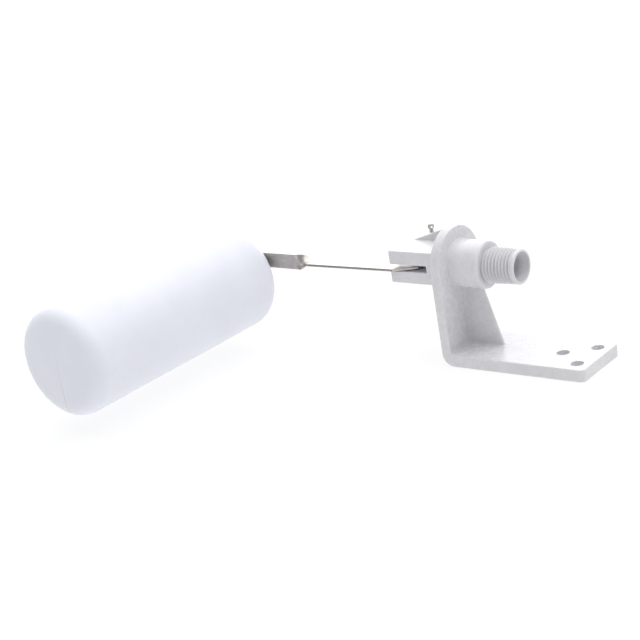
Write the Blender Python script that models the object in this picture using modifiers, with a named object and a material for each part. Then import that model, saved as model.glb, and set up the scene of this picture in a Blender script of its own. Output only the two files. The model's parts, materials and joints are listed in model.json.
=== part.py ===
"""Float valve: a moulded angle bracket with a threaded inlet, a plunger worked by a strip arm, and a float.

Metres, +Z up. The bracket's foot stands on z = 0 and the origin is the centre of its three screw holes.
The inlet points to +X, the arm leaves to -X, and the float lies along -Y. The arm is modelled in the
shut position, where its heel holds the plunger against the orifice.
"""
import math

import bmesh
import bpy
from mathutils import Matrix, Vector

GAP = 0.0003                # clearance left between pieces that touch or fit together
OVERCUT = 0.0010            # how far a cutting solid runs past the face it cuts

# Bracket: an upright plate with a round head, and a foot
PLATE_THICKNESS = 0.0040
PLATE_HEAD_R = 0.0145
FOOT_REACH = 0.0565         # from the plate's front face to the foot's free end
FOOT_WIDTH = 0.0278
FOOT_THICKNESS = 0.0048
FOOT_CORNER_R = 0.0020
BEND_OUTER_R = 0.0050
BEND_INNER_R = 0.0012
AXIS_HEIGHT = 0.03755       # the water way's axis above the foot's sole
SCREW_HOLE_R = 0.0024
SCREW_HOLE_INSET = 0.0055   # the outer pair of holes from the foot's free end
SCREW_HOLE_PITCH = 0.0160   # between the outer pair
SCREW_HOLE_STEP = 0.0102    # from the outer pair back to the single hole

# Web under the barrel and gusset over the clevis
WEB_NEAR_Y = 0.0004
WEB_THICKNESS = 0.0016
WEB_TOP_REACH = 0.0083
WEB_BASE_REACH = 0.0149
GUSSET_NEAR_Y = 0.0032
GUSSET_THICKNESS = 0.0022
GUSSET_LENGTH = 0.0185
GUSSET_RISE = 0.0064        # above the clevis, at the plate

# Barrel and threaded inlet nipple, quarter-inch taper pipe thread
BARREL_R = 0.0092
BARREL_LENGTH = 0.0134
BARREL_EDGE_R = 0.0010
NIPPLE_LENGTH = 0.0140
THREAD_TIP_R = 0.0066       # crest radius at the free end
THREAD_TAPER = 1 / 32       # radius gained per length
THREAD_PITCH = 0.00141
THREAD_DEPTH = 0.0007
THREAD_TURNS = 8
LIP_LENGTH = 0.0016         # plain ring at the free end
LIP_CHAMFER = 0.0003
BORE_R = 0.0050
MOUTH_R = 0.0057
MOUTH_DEPTH = 0.0040

# Seat pocket and plunger chamber
SHOULDER_X = 0.0055         # from the plate's front face
THROAT_R = 0.0025
CHAMBER_WALL_X = 0.0015     # from the plate's front face
CHAMBER_R = 0.0043

# Clevis: two jaws behind the plate, with the arm's slot between them
CLEVIS_LENGTH = 0.0211      # behind the plate's back face
CLEVIS_NEAR = 0.0111
CLEVIS_FAR = 0.0119
CLEVIS_ABOVE = 0.0070
CLEVIS_BELOW = 0.0059
SLOT_HEIGHT = 0.0028
SLOT_RISE = 0.0002          # the slot's middle above the water way's axis
SLOT_END = 0.0080           # behind the plate's front face
STOP_LUG_LENGTH = 0.0020

# Orifice seat and its ring
ORIFICE_R = 0.0012
SEAT_FLANGE_LENGTH = 0.0020
SEAT_LIP = 0.0003           # the seat's nose proud of the chamber wall
SEAT_LIP_R = 0.0017
SEAT_FUNNEL_R = 0.0030
SEAT_RING_SECTION_R = 0.0008

# Plunger and its seal
SEAL_R = 0.0022
SEAL_THICKNESS = 0.0015
SEAL_PROUD = 0.0004
PLUNGER_LENGTH = 0.0080
FLUTE_R = 0.0013
FLUTE_COUNT = 4
TAIL_R = 0.0016
TAIL_LENGTH = 0.0037

# Strip arm and its lever end
STRIP_WIDTH = 0.00635
STRIP_THICKNESS = 0.0010
STRIP_OFFSET = 0.00956      # the strip's middle to the near side of the water way's axis
TWIST_START = 0.0663        # these three are measured back from the plate's front face
TWIST_LENGTH = 0.0070
FLOAT_AXIS_BACK = 0.1052
ARM_DROP = math.radians(25)  # the swing from shut to fully open
HEEL_NOSE_R = 0.0020
HEEL_OFFSET = 0.0083        # from the water way's axis to the pivot
PIVOT_INSET = 0.0081        # from the clevis's free end to the pivot
LEVER_BOSS_R = 0.0028
LEVER_BEND_INSET = 0.0019   # where the strip's near edge turns in, past the clevis's free end
LEVER_KNEE = (0.0093, 0.0047)  # from that bend to the knee below the heel: along X, and along Y
LEVER_BACK_INSET = 0.0031   # the lever's back edge from the clevis's free end
LEVER_CORNER_R = 0.0030
LEVER_REACH = 0.0015        # of the flat lever past the clevis's free end
STRIP_FALL = 0.0006         # from the lever down to the upright end of the strip
PIVOT_WASHER_R = 0.0024

# Cotter pin that the arm turns on
COTTER_R = 0.0008
COTTER_EYE_HEIGHT = 0.0041  # the eye's middle above the clevis
COTTER_EYE_R = 0.0009
COTTER_WIRE_R = 0.0004
COTTER_EYE_TURN = math.radians(-35)
COTTER_LEG_DROP = 0.0012    # below the clevis, before the legs turn out
COTTER_LEG_LENGTH = 0.0032
COTTER_LEG_R = 0.00045
COTTER_ELBOW = 0.0015       # from the pin's axis to where each leg turns out

# Float, hung on the end of the strip
FLOAT_R = 0.02184
FLOAT_LENGTH = 0.1055
FLOAT_EDGE_R = 0.0064
FLOAT_WALL = 0.0015
FLOAT_DROP = 0.00716        # the float's axis below the middle of the strip's upright end
FILL_HOLE_R = 0.0025
PLUG_HEAD_R = 0.0036
PLUG_HEAD_THICKNESS = 0.0008
PLUG_LENGTH = 0.0040
FLOAT_BOSS_R = 0.0039
FLOAT_BOSS_LENGTH = 0.0115
FLOAT_SCREW_PITCH = 0.0140
FLOAT_SCREW_R = 0.0016
FLOAT_SCREW_LENGTH = 0.0105
FLOAT_SCREW_HEAD_R = 0.0029
FLOAT_SCREW_HEAD = 0.0018
SCREW_DRIVE_R = 0.0012
SCREW_DRIVE_DEPTH = 0.0008
LOCK_WASHER_R = 0.0031
LOCK_WASHER_THICKNESS = 0.0008
STRIP_TAIL = 0.0110         # the strip's end past the float's axis

# Places that follow from the sizes above
PLATE_FRONT = SCREW_HOLE_STEP / 3 + SCREW_HOLE_INSET - FOOT_REACH
PLATE_BACK = PLATE_FRONT - PLATE_THICKNESS
FOOT_END = PLATE_FRONT + FOOT_REACH
BARREL_END = PLATE_FRONT + BARREL_LENGTH
NIPPLE_END = BARREL_END + NIPPLE_LENGTH
CLEVIS_END = PLATE_BACK - CLEVIS_LENGTH
SLOT_Z = AXIS_HEIGHT + SLOT_RISE
ARM_Z = SLOT_Z - SLOT_HEIGHT / 2 + GAP + STRIP_THICKNESS / 2
SEAT_FACE = PLATE_FRONT + CHAMBER_WALL_X - SEAT_LIP
SEAL_FACE = SEAT_FACE - GAP
PLUNGER_FACE = SEAL_FACE - SEAL_PROUD
TAIL_END = PLUNGER_FACE - PLUNGER_LENGTH - TAIL_LENGTH
PIVOT = Vector((CLEVIS_END + PIVOT_INSET, HEEL_OFFSET, ARM_Z))
HEEL_X = TAIL_END - GAP - HEEL_NOSE_R
HOLE_R = COTTER_R + GAP
STRIP_NEAR = -STRIP_OFFSET - STRIP_WIDTH / 2
STRIP_FAR = -STRIP_OFFSET + STRIP_WIDTH / 2
FLOAT_X = PLATE_FRONT - FLOAT_AXIS_BACK
LEVER_END = CLEVIS_END - LEVER_REACH
TWIST_END = PLATE_FRONT - TWIST_START - TWIST_LENGTH
TAB_Z = ARM_Z - STRIP_FALL
FLOAT_Z = TAB_Z - FLOAT_DROP
FLOAT_FACE = -STRIP_OFFSET - STRIP_THICKNESS / 2 - GAP
TAB_FACE = -STRIP_OFFSET + STRIP_THICKNESS / 2

ALONG_X = Matrix.Rotation(math.pi / 2, 4, "Y")      # turned pieces: local Z becomes +X
ALONG_Y = Matrix.Rotation(-math.pi / 2, 4, "X")     # turned pieces: local Z becomes +Y
SIDE_VIEW = Matrix.Rotation(math.pi / 2, 4, "X")    # outlines drawn in X and Z
FRONT_VIEW = ALONG_X @ Matrix.Rotation(math.pi / 2, 4, "Z")     # outlines drawn in Y and Z


def clear_scene():
    for item in list(bpy.data.objects):
        bpy.data.objects.remove(item, do_unlink=True)


def new_collection(name):
    collection = bpy.data.collections.new(name)
    bpy.context.scene.collection.children.link(collection)
    return collection


def material(name, colour, roughness, metallic=0.0):
    finish = bpy.data.materials.new(name)
    finish.use_nodes = True
    shader = finish.node_tree.nodes["Principled BSDF"]
    shader.inputs["Base Color"].default_value = (*colour, 1.0)
    shader.inputs["Roughness"].default_value = roughness
    shader.inputs["Metallic"].default_value = metallic
    finish.diffuse_color = (*colour, 1.0)
    return finish


clear_scene()
PARTS = new_collection("float_valve")
CUTTERS = new_collection("float_valve_cutters")
BODY_PLASTIC = material("white_acetal", (0.84, 0.84, 0.86), 0.42)
FLOAT_PLASTIC = material("white_polyethylene", (0.86, 0.88, 0.95), 0.50)
STAINLESS = material("stainless_steel", (0.62, 0.61, 0.58), 0.30, 1.0)
BRASS = material("brass", (0.78, 0.60, 0.30), 0.30, 1.0)
RUBBER = material("black_rubber", (0.03, 0.03, 0.03), 0.70)
PLUNGER_PLASTIC = material("natural_acetal", (0.78, 0.78, 0.74), 0.45)


def at(x, y, z):
    return Matrix.Translation((x, y, z))


def weld(mesh):
    """Join a mesh's doubled points and turn its faces outwards."""
    work = bmesh.new()
    work.from_mesh(mesh)
    bmesh.ops.remove_doubles(work, verts=work.verts, dist=1e-6)
    bmesh.ops.recalc_face_normals(work, faces=work.faces)
    work.to_mesh(mesh)
    work.free()


def add_object(name, data):
    """Put new data into the cutters' collection; a finished part is moved out of it by as_part."""
    item = bpy.data.objects.new(name, data)
    CUTTERS.objects.link(item)
    item.hide_render = True
    item.display_type = "WIRE"
    return item


def as_part(item, finish):
    """Make an object one of the valve's parts."""
    CUTTERS.objects.unlink(item)
    PARTS.objects.link(item)
    item.hide_render = False
    item.display_type = "TEXTURED"
    item.data.materials.clear()
    item.data.materials.append(finish)
    return item


def curve_to_mesh(source):
    """Replace a curve object with a welded mesh of the same name and place."""
    bpy.context.view_layer.update()
    evaluated = source.evaluated_get(bpy.context.evaluated_depsgraph_get())
    mesh = bpy.data.meshes.new_from_object(evaluated)
    weld(mesh)
    name, place = source.name, source.matrix_world.copy()
    bpy.data.objects.remove(source, do_unlink=True)
    item = add_object(name, mesh)
    item.matrix_world = place
    return item


def prism(name, outline, thickness, place):
    """Flat outline of (u, v) points made a slab; its middle plane is the place's XY plane."""
    curve = bpy.data.curves.new(name, "CURVE")
    curve.dimensions = "2D"
    curve.fill_mode = "BOTH"
    curve.extrude = thickness / 2
    spline = curve.splines.new("POLY")
    spline.points.add(len(outline) - 1)
    for point, (u, v) in zip(spline.points, outline):
        point.co = (u, v, 0, 1)
    spline.use_cyclic_u = True
    item = add_object(name, curve)
    item.matrix_world = place
    return curve_to_mesh(item)


def wire(name, points, radius):
    """Round wire through the given points, with closed ends."""
    curve = bpy.data.curves.new(name, "CURVE")
    curve.dimensions = "3D"
    curve.bevel_depth = radius
    curve.bevel_resolution = 2
    curve.use_fill_caps = True
    spline = curve.splines.new("POLY")
    spline.points.add(len(points) - 1)
    for point, place in zip(spline.points, points):
        point.co = (*place, 1)
    return curve_to_mesh(add_object(name, curve))


def turned(name, profile, place, steps=40, ring=False):
    """Profile of (radius, height) points, outer side from top to bottom, turned about local Z."""
    links = [(i, i + 1) for i in range(len(profile) - 1)]
    if ring:
        links.append((len(profile) - 1, 0))
    mesh = bpy.data.meshes.new(name)
    mesh.from_pydata([(radius, 0, height) for radius, height in profile], links, [])
    item = add_object(name, mesh)
    item.matrix_world = place
    screw = item.modifiers.new("turn", "SCREW")
    screw.steps = steps
    screw.render_steps = steps
    screw.use_merge_vertices = True
    screw.merge_threshold = 1e-6
    return item


def cylinder(name, radius, low, high, place, steps=24):
    """Plain cylinder between two heights on the place's Z axis."""
    return turned(name, [(0, high), (radius, high), (radius, low), (0, low)], place, steps)


def box(name, low, high):
    """Box between two corners."""
    mesh = bpy.data.meshes.new(name)
    work = bmesh.new()
    middle = (Vector(low) + Vector(high)) / 2
    size = Vector(high) - Vector(low)
    bmesh.ops.create_cube(work, size=1, matrix=Matrix.Translation(middle) @ Matrix.Diagonal((*size, 1)))
    work.to_mesh(mesh)
    work.free()
    return add_object(name, mesh)


def combine(item, other, operation):
    """Add a Boolean to the item: UNION, DIFFERENCE or INTERSECT with the other object."""
    step = item.modifiers.new(other.name, "BOOLEAN")
    step.object = other
    step.operation = operation
    step.solver = "EXACT"
    return item


def arc(centre, radius, start, end, count):
    """Points on an arc; the angles are in degrees, and the arc runs from start to end."""
    angles = [math.radians(start + (end - start) * i / count) for i in range(count + 1)]
    return [(centre[0] + radius * math.cos(a), centre[1] + radius * math.sin(a)) for a in angles]


def shade_round(item):
    """Smooth shading with sharp edges kept; the Screw modifiers follow the same setting."""
    for step in item.modifiers:
        if step.type == "SCREW":
            step.use_smooth_shade = True
    if item.data.polygons:
        item.data.shade_smooth()
        item.data.set_sharp_from_angle(angle=math.radians(35))
    return item


def carry(pivot, items):
    """Hang objects on an empty that stands on their joint's axis."""
    bpy.context.view_layer.update()
    for item in items:
        item.parent = pivot
        item.matrix_parent_inverse = pivot.matrix_world.inverted()


def joint_empty(name, place):
    empty = bpy.data.objects.new(name, None)
    PARTS.objects.link(empty)
    empty.location = place
    empty.empty_display_size = 0.005
    return empty


# ---------------------------------------------------------------- valve body, one moulding

def bracket_section():
    """Side view of the bent plate: X and Z."""
    top = AXIS_HEIGHT + PLATE_HEAD_R + OVERCUT
    end = FOOT_END + OVERCUT
    outer = arc((PLATE_BACK + BEND_OUTER_R, BEND_OUTER_R), BEND_OUTER_R, 180, 270, 6)
    inner_centre = (PLATE_FRONT + BEND_INNER_R, FOOT_THICKNESS + BEND_INNER_R)
    inner = arc(inner_centre, BEND_INNER_R, 270, 180, 3)
    return [(PLATE_BACK, top), *outer, (end, 0), (end, FOOT_THICKNESS), *inner, (PLATE_FRONT, top)]


def bracket_front():
    """Front view of the bracket: Y and Z, round headed, drawn in a little to the foot."""
    half = FOOT_WIDTH / 2
    head = arc((0, AXIS_HEIGHT), PLATE_HEAD_R, 0, 180, 28)
    return [(half, 0), *head, (-half, 0), (-half, -OVERCUT), (half, -OVERCUT)]


def bracket_plan():
    """Top view of the bracket: X and Y, with the foot's free corners rounded."""
    back = PLATE_BACK - OVERCUT
    side = PLATE_HEAD_R + OVERCUT
    half = FOOT_WIDTH / 2
    corner = FOOT_CORNER_R
    far = arc((FOOT_END - corner, half - corner), corner, 90, 0, 4)
    near = arc((FOOT_END - corner, corner - half), corner, 0, -90, 4)
    widen = PLATE_FRONT + BEND_INNER_R + OVERCUT
    return [(back, side), (widen, side), (widen, half), *far, *near, (widen, -half), (widen, -side),
            (back, -side)]


def bracket():
    depth = 2 * (PLATE_HEAD_R + 2 * OVERCUT)
    item = prism("valve_body", bracket_section(), depth, SIDE_VIEW)
    span = FOOT_END - PLATE_BACK + 4 * OVERCUT
    middle = (FOOT_END + PLATE_BACK) / 2
    combine(item, prism("front_outline", bracket_front(), span, at(middle, 0, 0) @ FRONT_VIEW), "INTERSECT")
    height = AXIS_HEIGHT + PLATE_HEAD_R + 4 * OVERCUT
    plan = prism("plan_outline", bracket_plan(), height, at(0, 0, height / 2 - 2 * OVERCUT))
    return combine(item, plan, "INTERSECT")


def inlet_profile():
    """Barrel and nipple: radius against X, from the nipple's free end back into the plate."""
    def crest_r(x):
        return THREAD_TIP_R + (NIPPLE_END - x) * THREAD_TAPER

    start = NIPPLE_END - LIP_LENGTH
    points = [(0, NIPPLE_END), (THREAD_TIP_R - LIP_CHAMFER, NIPPLE_END),
              (THREAD_TIP_R, NIPPLE_END - LIP_CHAMFER), (THREAD_TIP_R, start)]
    for turn in range(THREAD_TURNS):
        root = start - turn * THREAD_PITCH
        crest = root - THREAD_PITCH / 2
        points += [(crest_r(root) - THREAD_DEPTH, root - THREAD_PITCH / 8), (crest_r(crest), crest)]
    neck = start - THREAD_TURNS * THREAD_PITCH
    neck_r = crest_r(neck) - THREAD_DEPTH
    points += [(neck_r, neck), (neck_r, BARREL_END)]
    edge = arc((BARREL_R - BARREL_EDGE_R, BARREL_END - BARREL_EDGE_R), BARREL_EDGE_R, 90, 0, 3)
    inside = PLATE_FRONT - PLATE_THICKNESS / 2
    return [*points, *edge, (BARREL_R, inside), (0, inside)]


def water_way_profile():
    """Everything bored on the axis: mouth, bore, seat pocket and plunger chamber."""
    mouth = NIPPLE_END + OVERCUT
    shoulder = PLATE_FRONT + SHOULDER_X
    wall = PLATE_FRONT + CHAMBER_WALL_X
    end = CLEVIS_END - OVERCUT
    return [(0, mouth), (MOUTH_R, mouth), (MOUTH_R, NIPPLE_END), (BORE_R, NIPPLE_END - MOUTH_DEPTH),
            (BORE_R, shoulder), (THROAT_R, shoulder), (THROAT_R, wall), (CHAMBER_R, wall),
            (CHAMBER_R, end), (0, end)]


def clevis_block():
    low = (CLEVIS_END, -CLEVIS_NEAR, AXIS_HEIGHT - CLEVIS_BELOW)
    high = (PLATE_FRONT - PLATE_THICKNESS / 2, CLEVIS_FAR, AXIS_HEIGHT + CLEVIS_ABOVE)
    return box("clevis_block", low, high)


def web():
    """Upright rib between the barrel and the foot."""
    root = PLATE_FRONT - PLATE_THICKNESS / 2
    sole = FOOT_THICKNESS / 2
    top = AXIS_HEIGHT - BARREL_R / 2
    slope = (WEB_BASE_REACH - WEB_TOP_REACH) / (AXIS_HEIGHT - BARREL_R - FOOT_THICKNESS)
    top_reach = WEB_TOP_REACH - slope * (top - AXIS_HEIGHT + BARREL_R)
    base_reach = WEB_BASE_REACH + slope * (FOOT_THICKNESS - sole)
    outline = [(root, sole), (PLATE_FRONT + base_reach, sole), (PLATE_FRONT + top_reach, top), (root, top)]
    return prism("web", outline, WEB_THICKNESS, at(0, WEB_NEAR_Y + WEB_THICKNESS / 2, 0) @ SIDE_VIEW)


def gusset():
    """Sloping rib from the plate's head down onto the clevis."""
    root = PLATE_BACK + PLATE_THICKNESS / 2
    base = AXIS_HEIGHT + CLEVIS_ABOVE
    slope = GUSSET_RISE / GUSSET_LENGTH
    inside = base - CLEVIS_ABOVE / 4
    tip = PLATE_BACK - GUSSET_LENGTH
    outline = [(tip, base), (tip, inside), (root, inside), (root, base + slope * (root - tip))]
    middle = at(0, GUSSET_NEAR_Y + GUSSET_THICKNESS / 2, 0)
    return prism("gusset", outline, GUSSET_THICKNESS, middle @ SIDE_VIEW)


def lever_back_edge():
    """The lever's straight back edge, from its boss to its inner corner."""
    corner = Vector((CLEVIS_END + LEVER_BACK_INSET, STRIP_FAR + LEVER_CORNER_R))
    reach = PIVOT.to_2d() - corner
    lean = math.asin(LEVER_BOSS_R / reach.length)
    direction = Matrix.Rotation(lean, 2) @ reach.normalized()
    tangent = corner + direction * reach.length * math.cos(lean)
    return tangent, corner


def stop_lug_edge():
    """Y of the lug that the lever's back edge comes against when the arm is down."""
    tangent, corner = lever_back_edge()
    turn = Matrix.Rotation(-ARM_DROP, 2)
    first = turn @ (tangent - PIVOT.to_2d()) + PIVOT.to_2d()
    second = turn @ (corner - PIVOT.to_2d()) + PIVOT.to_2d()
    along = (CLEVIS_END + STOP_LUG_LENGTH - first.x) / (second.x - first.x)
    slant = (second - first).length / abs(second.x - first.x)
    return first.y + along * (second.y - first.y) + GAP * slant


def slot():
    """The arm's slot in plan: open to the near side and the end, closed at the far corner by the lug."""
    left = CLEVIS_END - OVERCUT
    right = PLATE_FRONT - SLOT_END
    near = -CLEVIS_NEAR - OVERCUT
    far = CLEVIS_FAR + OVERCUT
    lug_x = CLEVIS_END + STOP_LUG_LENGTH
    lug_y = stop_lug_edge()
    outline = [(left, near), (right, near), (right, far), (lug_x, far), (lug_x, lug_y), (left, lug_y)]
    return prism("slot", outline, SLOT_HEIGHT, at(0, 0, SLOT_Z))


def foot_screw_holes():
    """Two holes near the foot's free end and one behind them on the centre line."""
    outer = FOOT_END - SCREW_HOLE_INSET
    places = [(outer, -SCREW_HOLE_PITCH / 2), (outer, SCREW_HOLE_PITCH / 2), (outer - SCREW_HOLE_STEP, 0)]
    return [cylinder(f"foot_hole_{i}", SCREW_HOLE_R, -OVERCUT, FOOT_THICKNESS + OVERCUT, at(x, y, 0))
            for i, (x, y) in enumerate(places)]


def valve_body():
    item = bracket()
    for piece in (clevis_block(), web(), gusset()):
        combine(item, piece, "UNION")
    combine(item, turned("inlet", inlet_profile(), at(0, 0, AXIS_HEIGHT) @ ALONG_X), "UNION")
    combine(item, turned("water_way", water_way_profile(), at(0, 0, AXIS_HEIGHT) @ ALONG_X), "DIFFERENCE")
    combine(item, slot(), "DIFFERENCE")
    low = AXIS_HEIGHT - CLEVIS_BELOW - OVERCUT
    high = AXIS_HEIGHT + CLEVIS_ABOVE + OVERCUT
    combine(item, cylinder("pin_hole", HOLE_R, low, high, at(PIVOT.x, PIVOT.y, 0)), "DIFFERENCE")
    for hole in foot_screw_holes():
        combine(item, hole, "DIFFERENCE")
    return as_part(item, BODY_PLASTIC)


# ---------------------------------------------------------------- seat, ring, plunger and seal

def orifice_seat():
    """Brass insert: a flange in the bore and a nose through the throat, with a raised lip."""
    shoulder = PLATE_FRONT + SHOULDER_X
    flange = shoulder + 2 * SEAT_RING_SECTION_R + 2 * GAP
    back = flange + SEAT_FLANGE_LENGTH
    nose_r = THROAT_R - GAP
    flange_r = BORE_R - GAP
    lip_root = SEAT_FACE + SEAT_LIP
    profile = [(SEAT_FUNNEL_R, back), (flange_r, back), (flange_r, flange), (nose_r, flange),
               (nose_r, lip_root), (SEAT_LIP_R, SEAT_FACE), (ORIFICE_R, SEAT_FACE),
               (ORIFICE_R, flange)]
    item = turned("orifice_seat", profile, at(0, 0, AXIS_HEIGHT) @ ALONG_X, steps=32, ring=True)
    return shade_round(as_part(item, BRASS))


def seat_o_ring():
    """Rubber ring between the seat's flange and the body's shoulder."""
    middle_r = THROAT_R + SEAT_RING_SECTION_R
    x = PLATE_FRONT + SHOULDER_X + GAP + SEAT_RING_SECTION_R
    section = arc((middle_r, x), SEAT_RING_SECTION_R, 90, -270 + 36, 9)
    item = turned("seat_o_ring", section, at(0, 0, AXIS_HEIGHT) @ ALONG_X, steps=28, ring=True)
    return shade_round(as_part(item, RUBBER))


def plunger():
    """Fluted plunger with a pocket for the seal and a tail for the lever's heel."""
    plunger_r = CHAMBER_R - GAP
    pocket_r = SEAL_R + GAP
    pocket = SEAL_FACE - SEAL_THICKNESS - GAP
    back = PLUNGER_FACE - PLUNGER_LENGTH
    profile = [(0, pocket), (pocket_r, pocket), (pocket_r, PLUNGER_FACE), (plunger_r, PLUNGER_FACE),
               (plunger_r, back), (TAIL_R, back), (TAIL_R, TAIL_END), (0, TAIL_END)]
    item = turned("plunger", profile, at(0, 0, AXIS_HEIGHT) @ ALONG_X, steps=32)
    for i in range(FLUTE_COUNT):
        turn = Matrix.Rotation(math.tau * (i + 0.5) / FLUTE_COUNT, 4, "X")
        place = at(0, 0, AXIS_HEIGHT) @ turn @ at(0, 0, plunger_r + FLUTE_R / 3) @ ALONG_X
        flute = cylinder(f"flute_{i}", FLUTE_R, back - OVERCUT, PLUNGER_FACE + OVERCUT, place, 16)
        combine(item, flute, "DIFFERENCE")
    return as_part(item, PLUNGER_PLASTIC)


def plunger_seal():
    """Rubber disc that shuts on the seat's lip."""
    place = at(0, 0, AXIS_HEIGHT) @ ALONG_X
    item = cylinder("plunger_seal", SEAL_R, SEAL_FACE - SEAL_THICKNESS, SEAL_FACE, place, 28)
    return shade_round(as_part(item, RUBBER))


# ---------------------------------------------------------------- arm, pin and washer

def lever_outline():
    """Plan of the lever and the start of the strip, anticlockwise from the strip's near edge."""
    bend = (CLEVIS_END + LEVER_BEND_INSET, STRIP_NEAR)
    knee = (bend[0] + LEVER_KNEE[0], bend[1] + LEVER_KNEE[1])
    nose = arc((HEEL_X, 0), HEEL_NOSE_R, -25, 40, 6)
    tangent, corner = lever_back_edge()
    back = tangent - PIVOT.to_2d()
    boss = arc((PIVOT.x, PIVOT.y), LEVER_BOSS_R, -10, math.degrees(math.atan2(back.y, back.x)) % 360, 12)
    inner = arc((corner.x - LEVER_CORNER_R, corner.y), LEVER_CORNER_R, 0, -90, 4)
    return [(LEVER_END, STRIP_NEAR), bend, knee, *nose, *boss, *inner, (LEVER_END, STRIP_FAR)]


def strip_height(x):
    """Z of the strip's middle: level at the lever, then a straight fall to the twist's end, then level."""
    share = (LEVER_END - x) / (LEVER_END - TWIST_END)
    return ARM_Z - STRIP_FALL * min(max(share, 0), 1)


def strip_section(x, turn):
    """Four corners of the strip's section at x, turned about the strip's middle line."""
    half_width, half_thick = STRIP_WIDTH / 2, STRIP_THICKNESS / 2
    corners = [(-half_width, -half_thick), (half_width, -half_thick), (half_width, half_thick),
               (-half_width, half_thick)]
    cos, sin = math.cos(turn), math.sin(turn)
    height = strip_height(x)
    return [(x, -STRIP_OFFSET + u * cos - v * sin, height + u * sin + v * cos) for u, v in corners]


def twisted_strip():
    """Loft of the strip: flat from the lever to the twist, a quarter twist, then upright to the float."""
    start = PLATE_FRONT - TWIST_START
    end = FLOAT_X - STRIP_TAIL
    steps = 10
    stations = [(CLEVIS_END, 0.0), (LEVER_END, 0.0), (start, 0.0)]
    stations += [(start - TWIST_LENGTH * i / steps, math.pi / 2 * i / steps) for i in range(1, steps + 1)]
    stations.append((end, math.pi / 2))
    work = bmesh.new()
    loops = [[work.verts.new(corner) for corner in strip_section(x, turn)] for x, turn in stations]
    for first, second in zip(loops, loops[1:]):
        for i in range(4):
            j = (i + 1) % 4
            work.faces.new((first[i], first[j], second[j], second[i]))
    work.faces.new(loops[0])
    work.faces.new(loops[-1])
    bmesh.ops.recalc_face_normals(work, faces=work.faces)
    mesh = bpy.data.meshes.new("twisted_strip")
    work.to_mesh(mesh)
    work.free()
    return add_object("twisted_strip", mesh)


def float_arm():
    """Stainless strip with its lever end: one pressing, twisted a quarter turn to meet the float."""
    item = prism("float_arm", lever_outline(), STRIP_THICKNESS, at(0, 0, ARM_Z))
    combine(item, twisted_strip(), "UNION")
    reach = STRIP_THICKNESS + OVERCUT
    pin_hole = cylinder("arm_pin_hole", HOLE_R, ARM_Z - reach, ARM_Z + reach, at(PIVOT.x, PIVOT.y, 0))
    combine(item, pin_hole, "DIFFERENCE")
    for i, x in enumerate(float_screw_places()):
        place = at(x, -STRIP_OFFSET, TAB_Z) @ ALONG_Y
        combine(item, cylinder(f"tab_hole_{i}", FLOAT_SCREW_R + GAP, -reach, reach, place), "DIFFERENCE")
    return as_part(item, STAINLESS)


def pivot_cotter_pin():
    """Split pin: an eye over the clevis, a shank through it, and two legs turned out below."""
    top = AXIS_HEIGHT + CLEVIS_ABOVE
    bottom = AXIS_HEIGHT - CLEVIS_BELOW
    eye_z = top + COTTER_EYE_HEIGHT
    turn = bottom - COTTER_LEG_DROP - COTTER_R
    item = cylinder("pivot_cotter_pin", COTTER_R, turn, eye_z - COTTER_EYE_R, at(PIVOT.x, PIVOT.y, 0), 16)
    section = arc((COTTER_EYE_R, 0), COTTER_WIRE_R, 90, -270 + 45, 7)
    tilt = Matrix.Rotation(COTTER_EYE_TURN, 4, "Z") @ ALONG_X
    eye = turned("cotter_eye", section, at(PIVOT.x, PIVOT.y, eye_z) @ tilt, steps=24, ring=True)
    combine(item, eye, "UNION")
    for side in (-1, 1):
        combine(item, cotter_leg(side, turn), "UNION")
    return as_part(item, STAINLESS)


def cotter_leg(side, turn):
    """One leg: down inside the shank to the height where it turns, then out in the eye's plane."""
    outward = Matrix.Rotation(COTTER_EYE_TURN, 3, "Z") @ Vector((0, side, 0))
    stations = [(COTTER_WIRE_R, turn + 2 * COTTER_R), (COTTER_WIRE_R, turn + COTTER_R),
                (COTTER_ELBOW, turn + COTTER_WIRE_R / 2),
                (COTTER_LEG_LENGTH, turn - side * COTTER_WIRE_R / 2)]
    points = [(PIVOT.x + out * outward.x, PIVOT.y + out * outward.y, z) for out, z in stations]
    return wire(f"cotter_leg_{side}", points, COTTER_LEG_R)


def arm_washer():
    """Spacer over the arm, which lies low in the slot."""
    low = STRIP_THICKNESS / 2 + GAP
    high = SLOT_Z + SLOT_HEIGHT / 2 - GAP - ARM_Z
    profile = [(HOLE_R, high), (PIVOT_WASHER_R, high), (PIVOT_WASHER_R, low), (HOLE_R, low)]
    item = turned("arm_washer", profile, at(PIVOT.x, PIVOT.y, ARM_Z), steps=28, ring=True)
    return shade_round(as_part(item, STAINLESS))


# ---------------------------------------------------------------- float and its fastenings

def float_screw_places():
    """X of the two screws that hold the strip to the float's end."""
    return [FLOAT_X - FLOAT_SCREW_PITCH / 2, FLOAT_X + FLOAT_SCREW_PITCH / 2]


def float_profile(radius, edge, low, high):
    """Drum with rounded ends: radius against distance along the float's axis."""
    far = arc((radius - edge, high - edge), edge, 90, 0, 6)
    near = arc((radius - edge, low + edge), edge, 0, -90, 6)
    return [(0, high), *far, *near, (0, low)]


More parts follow.
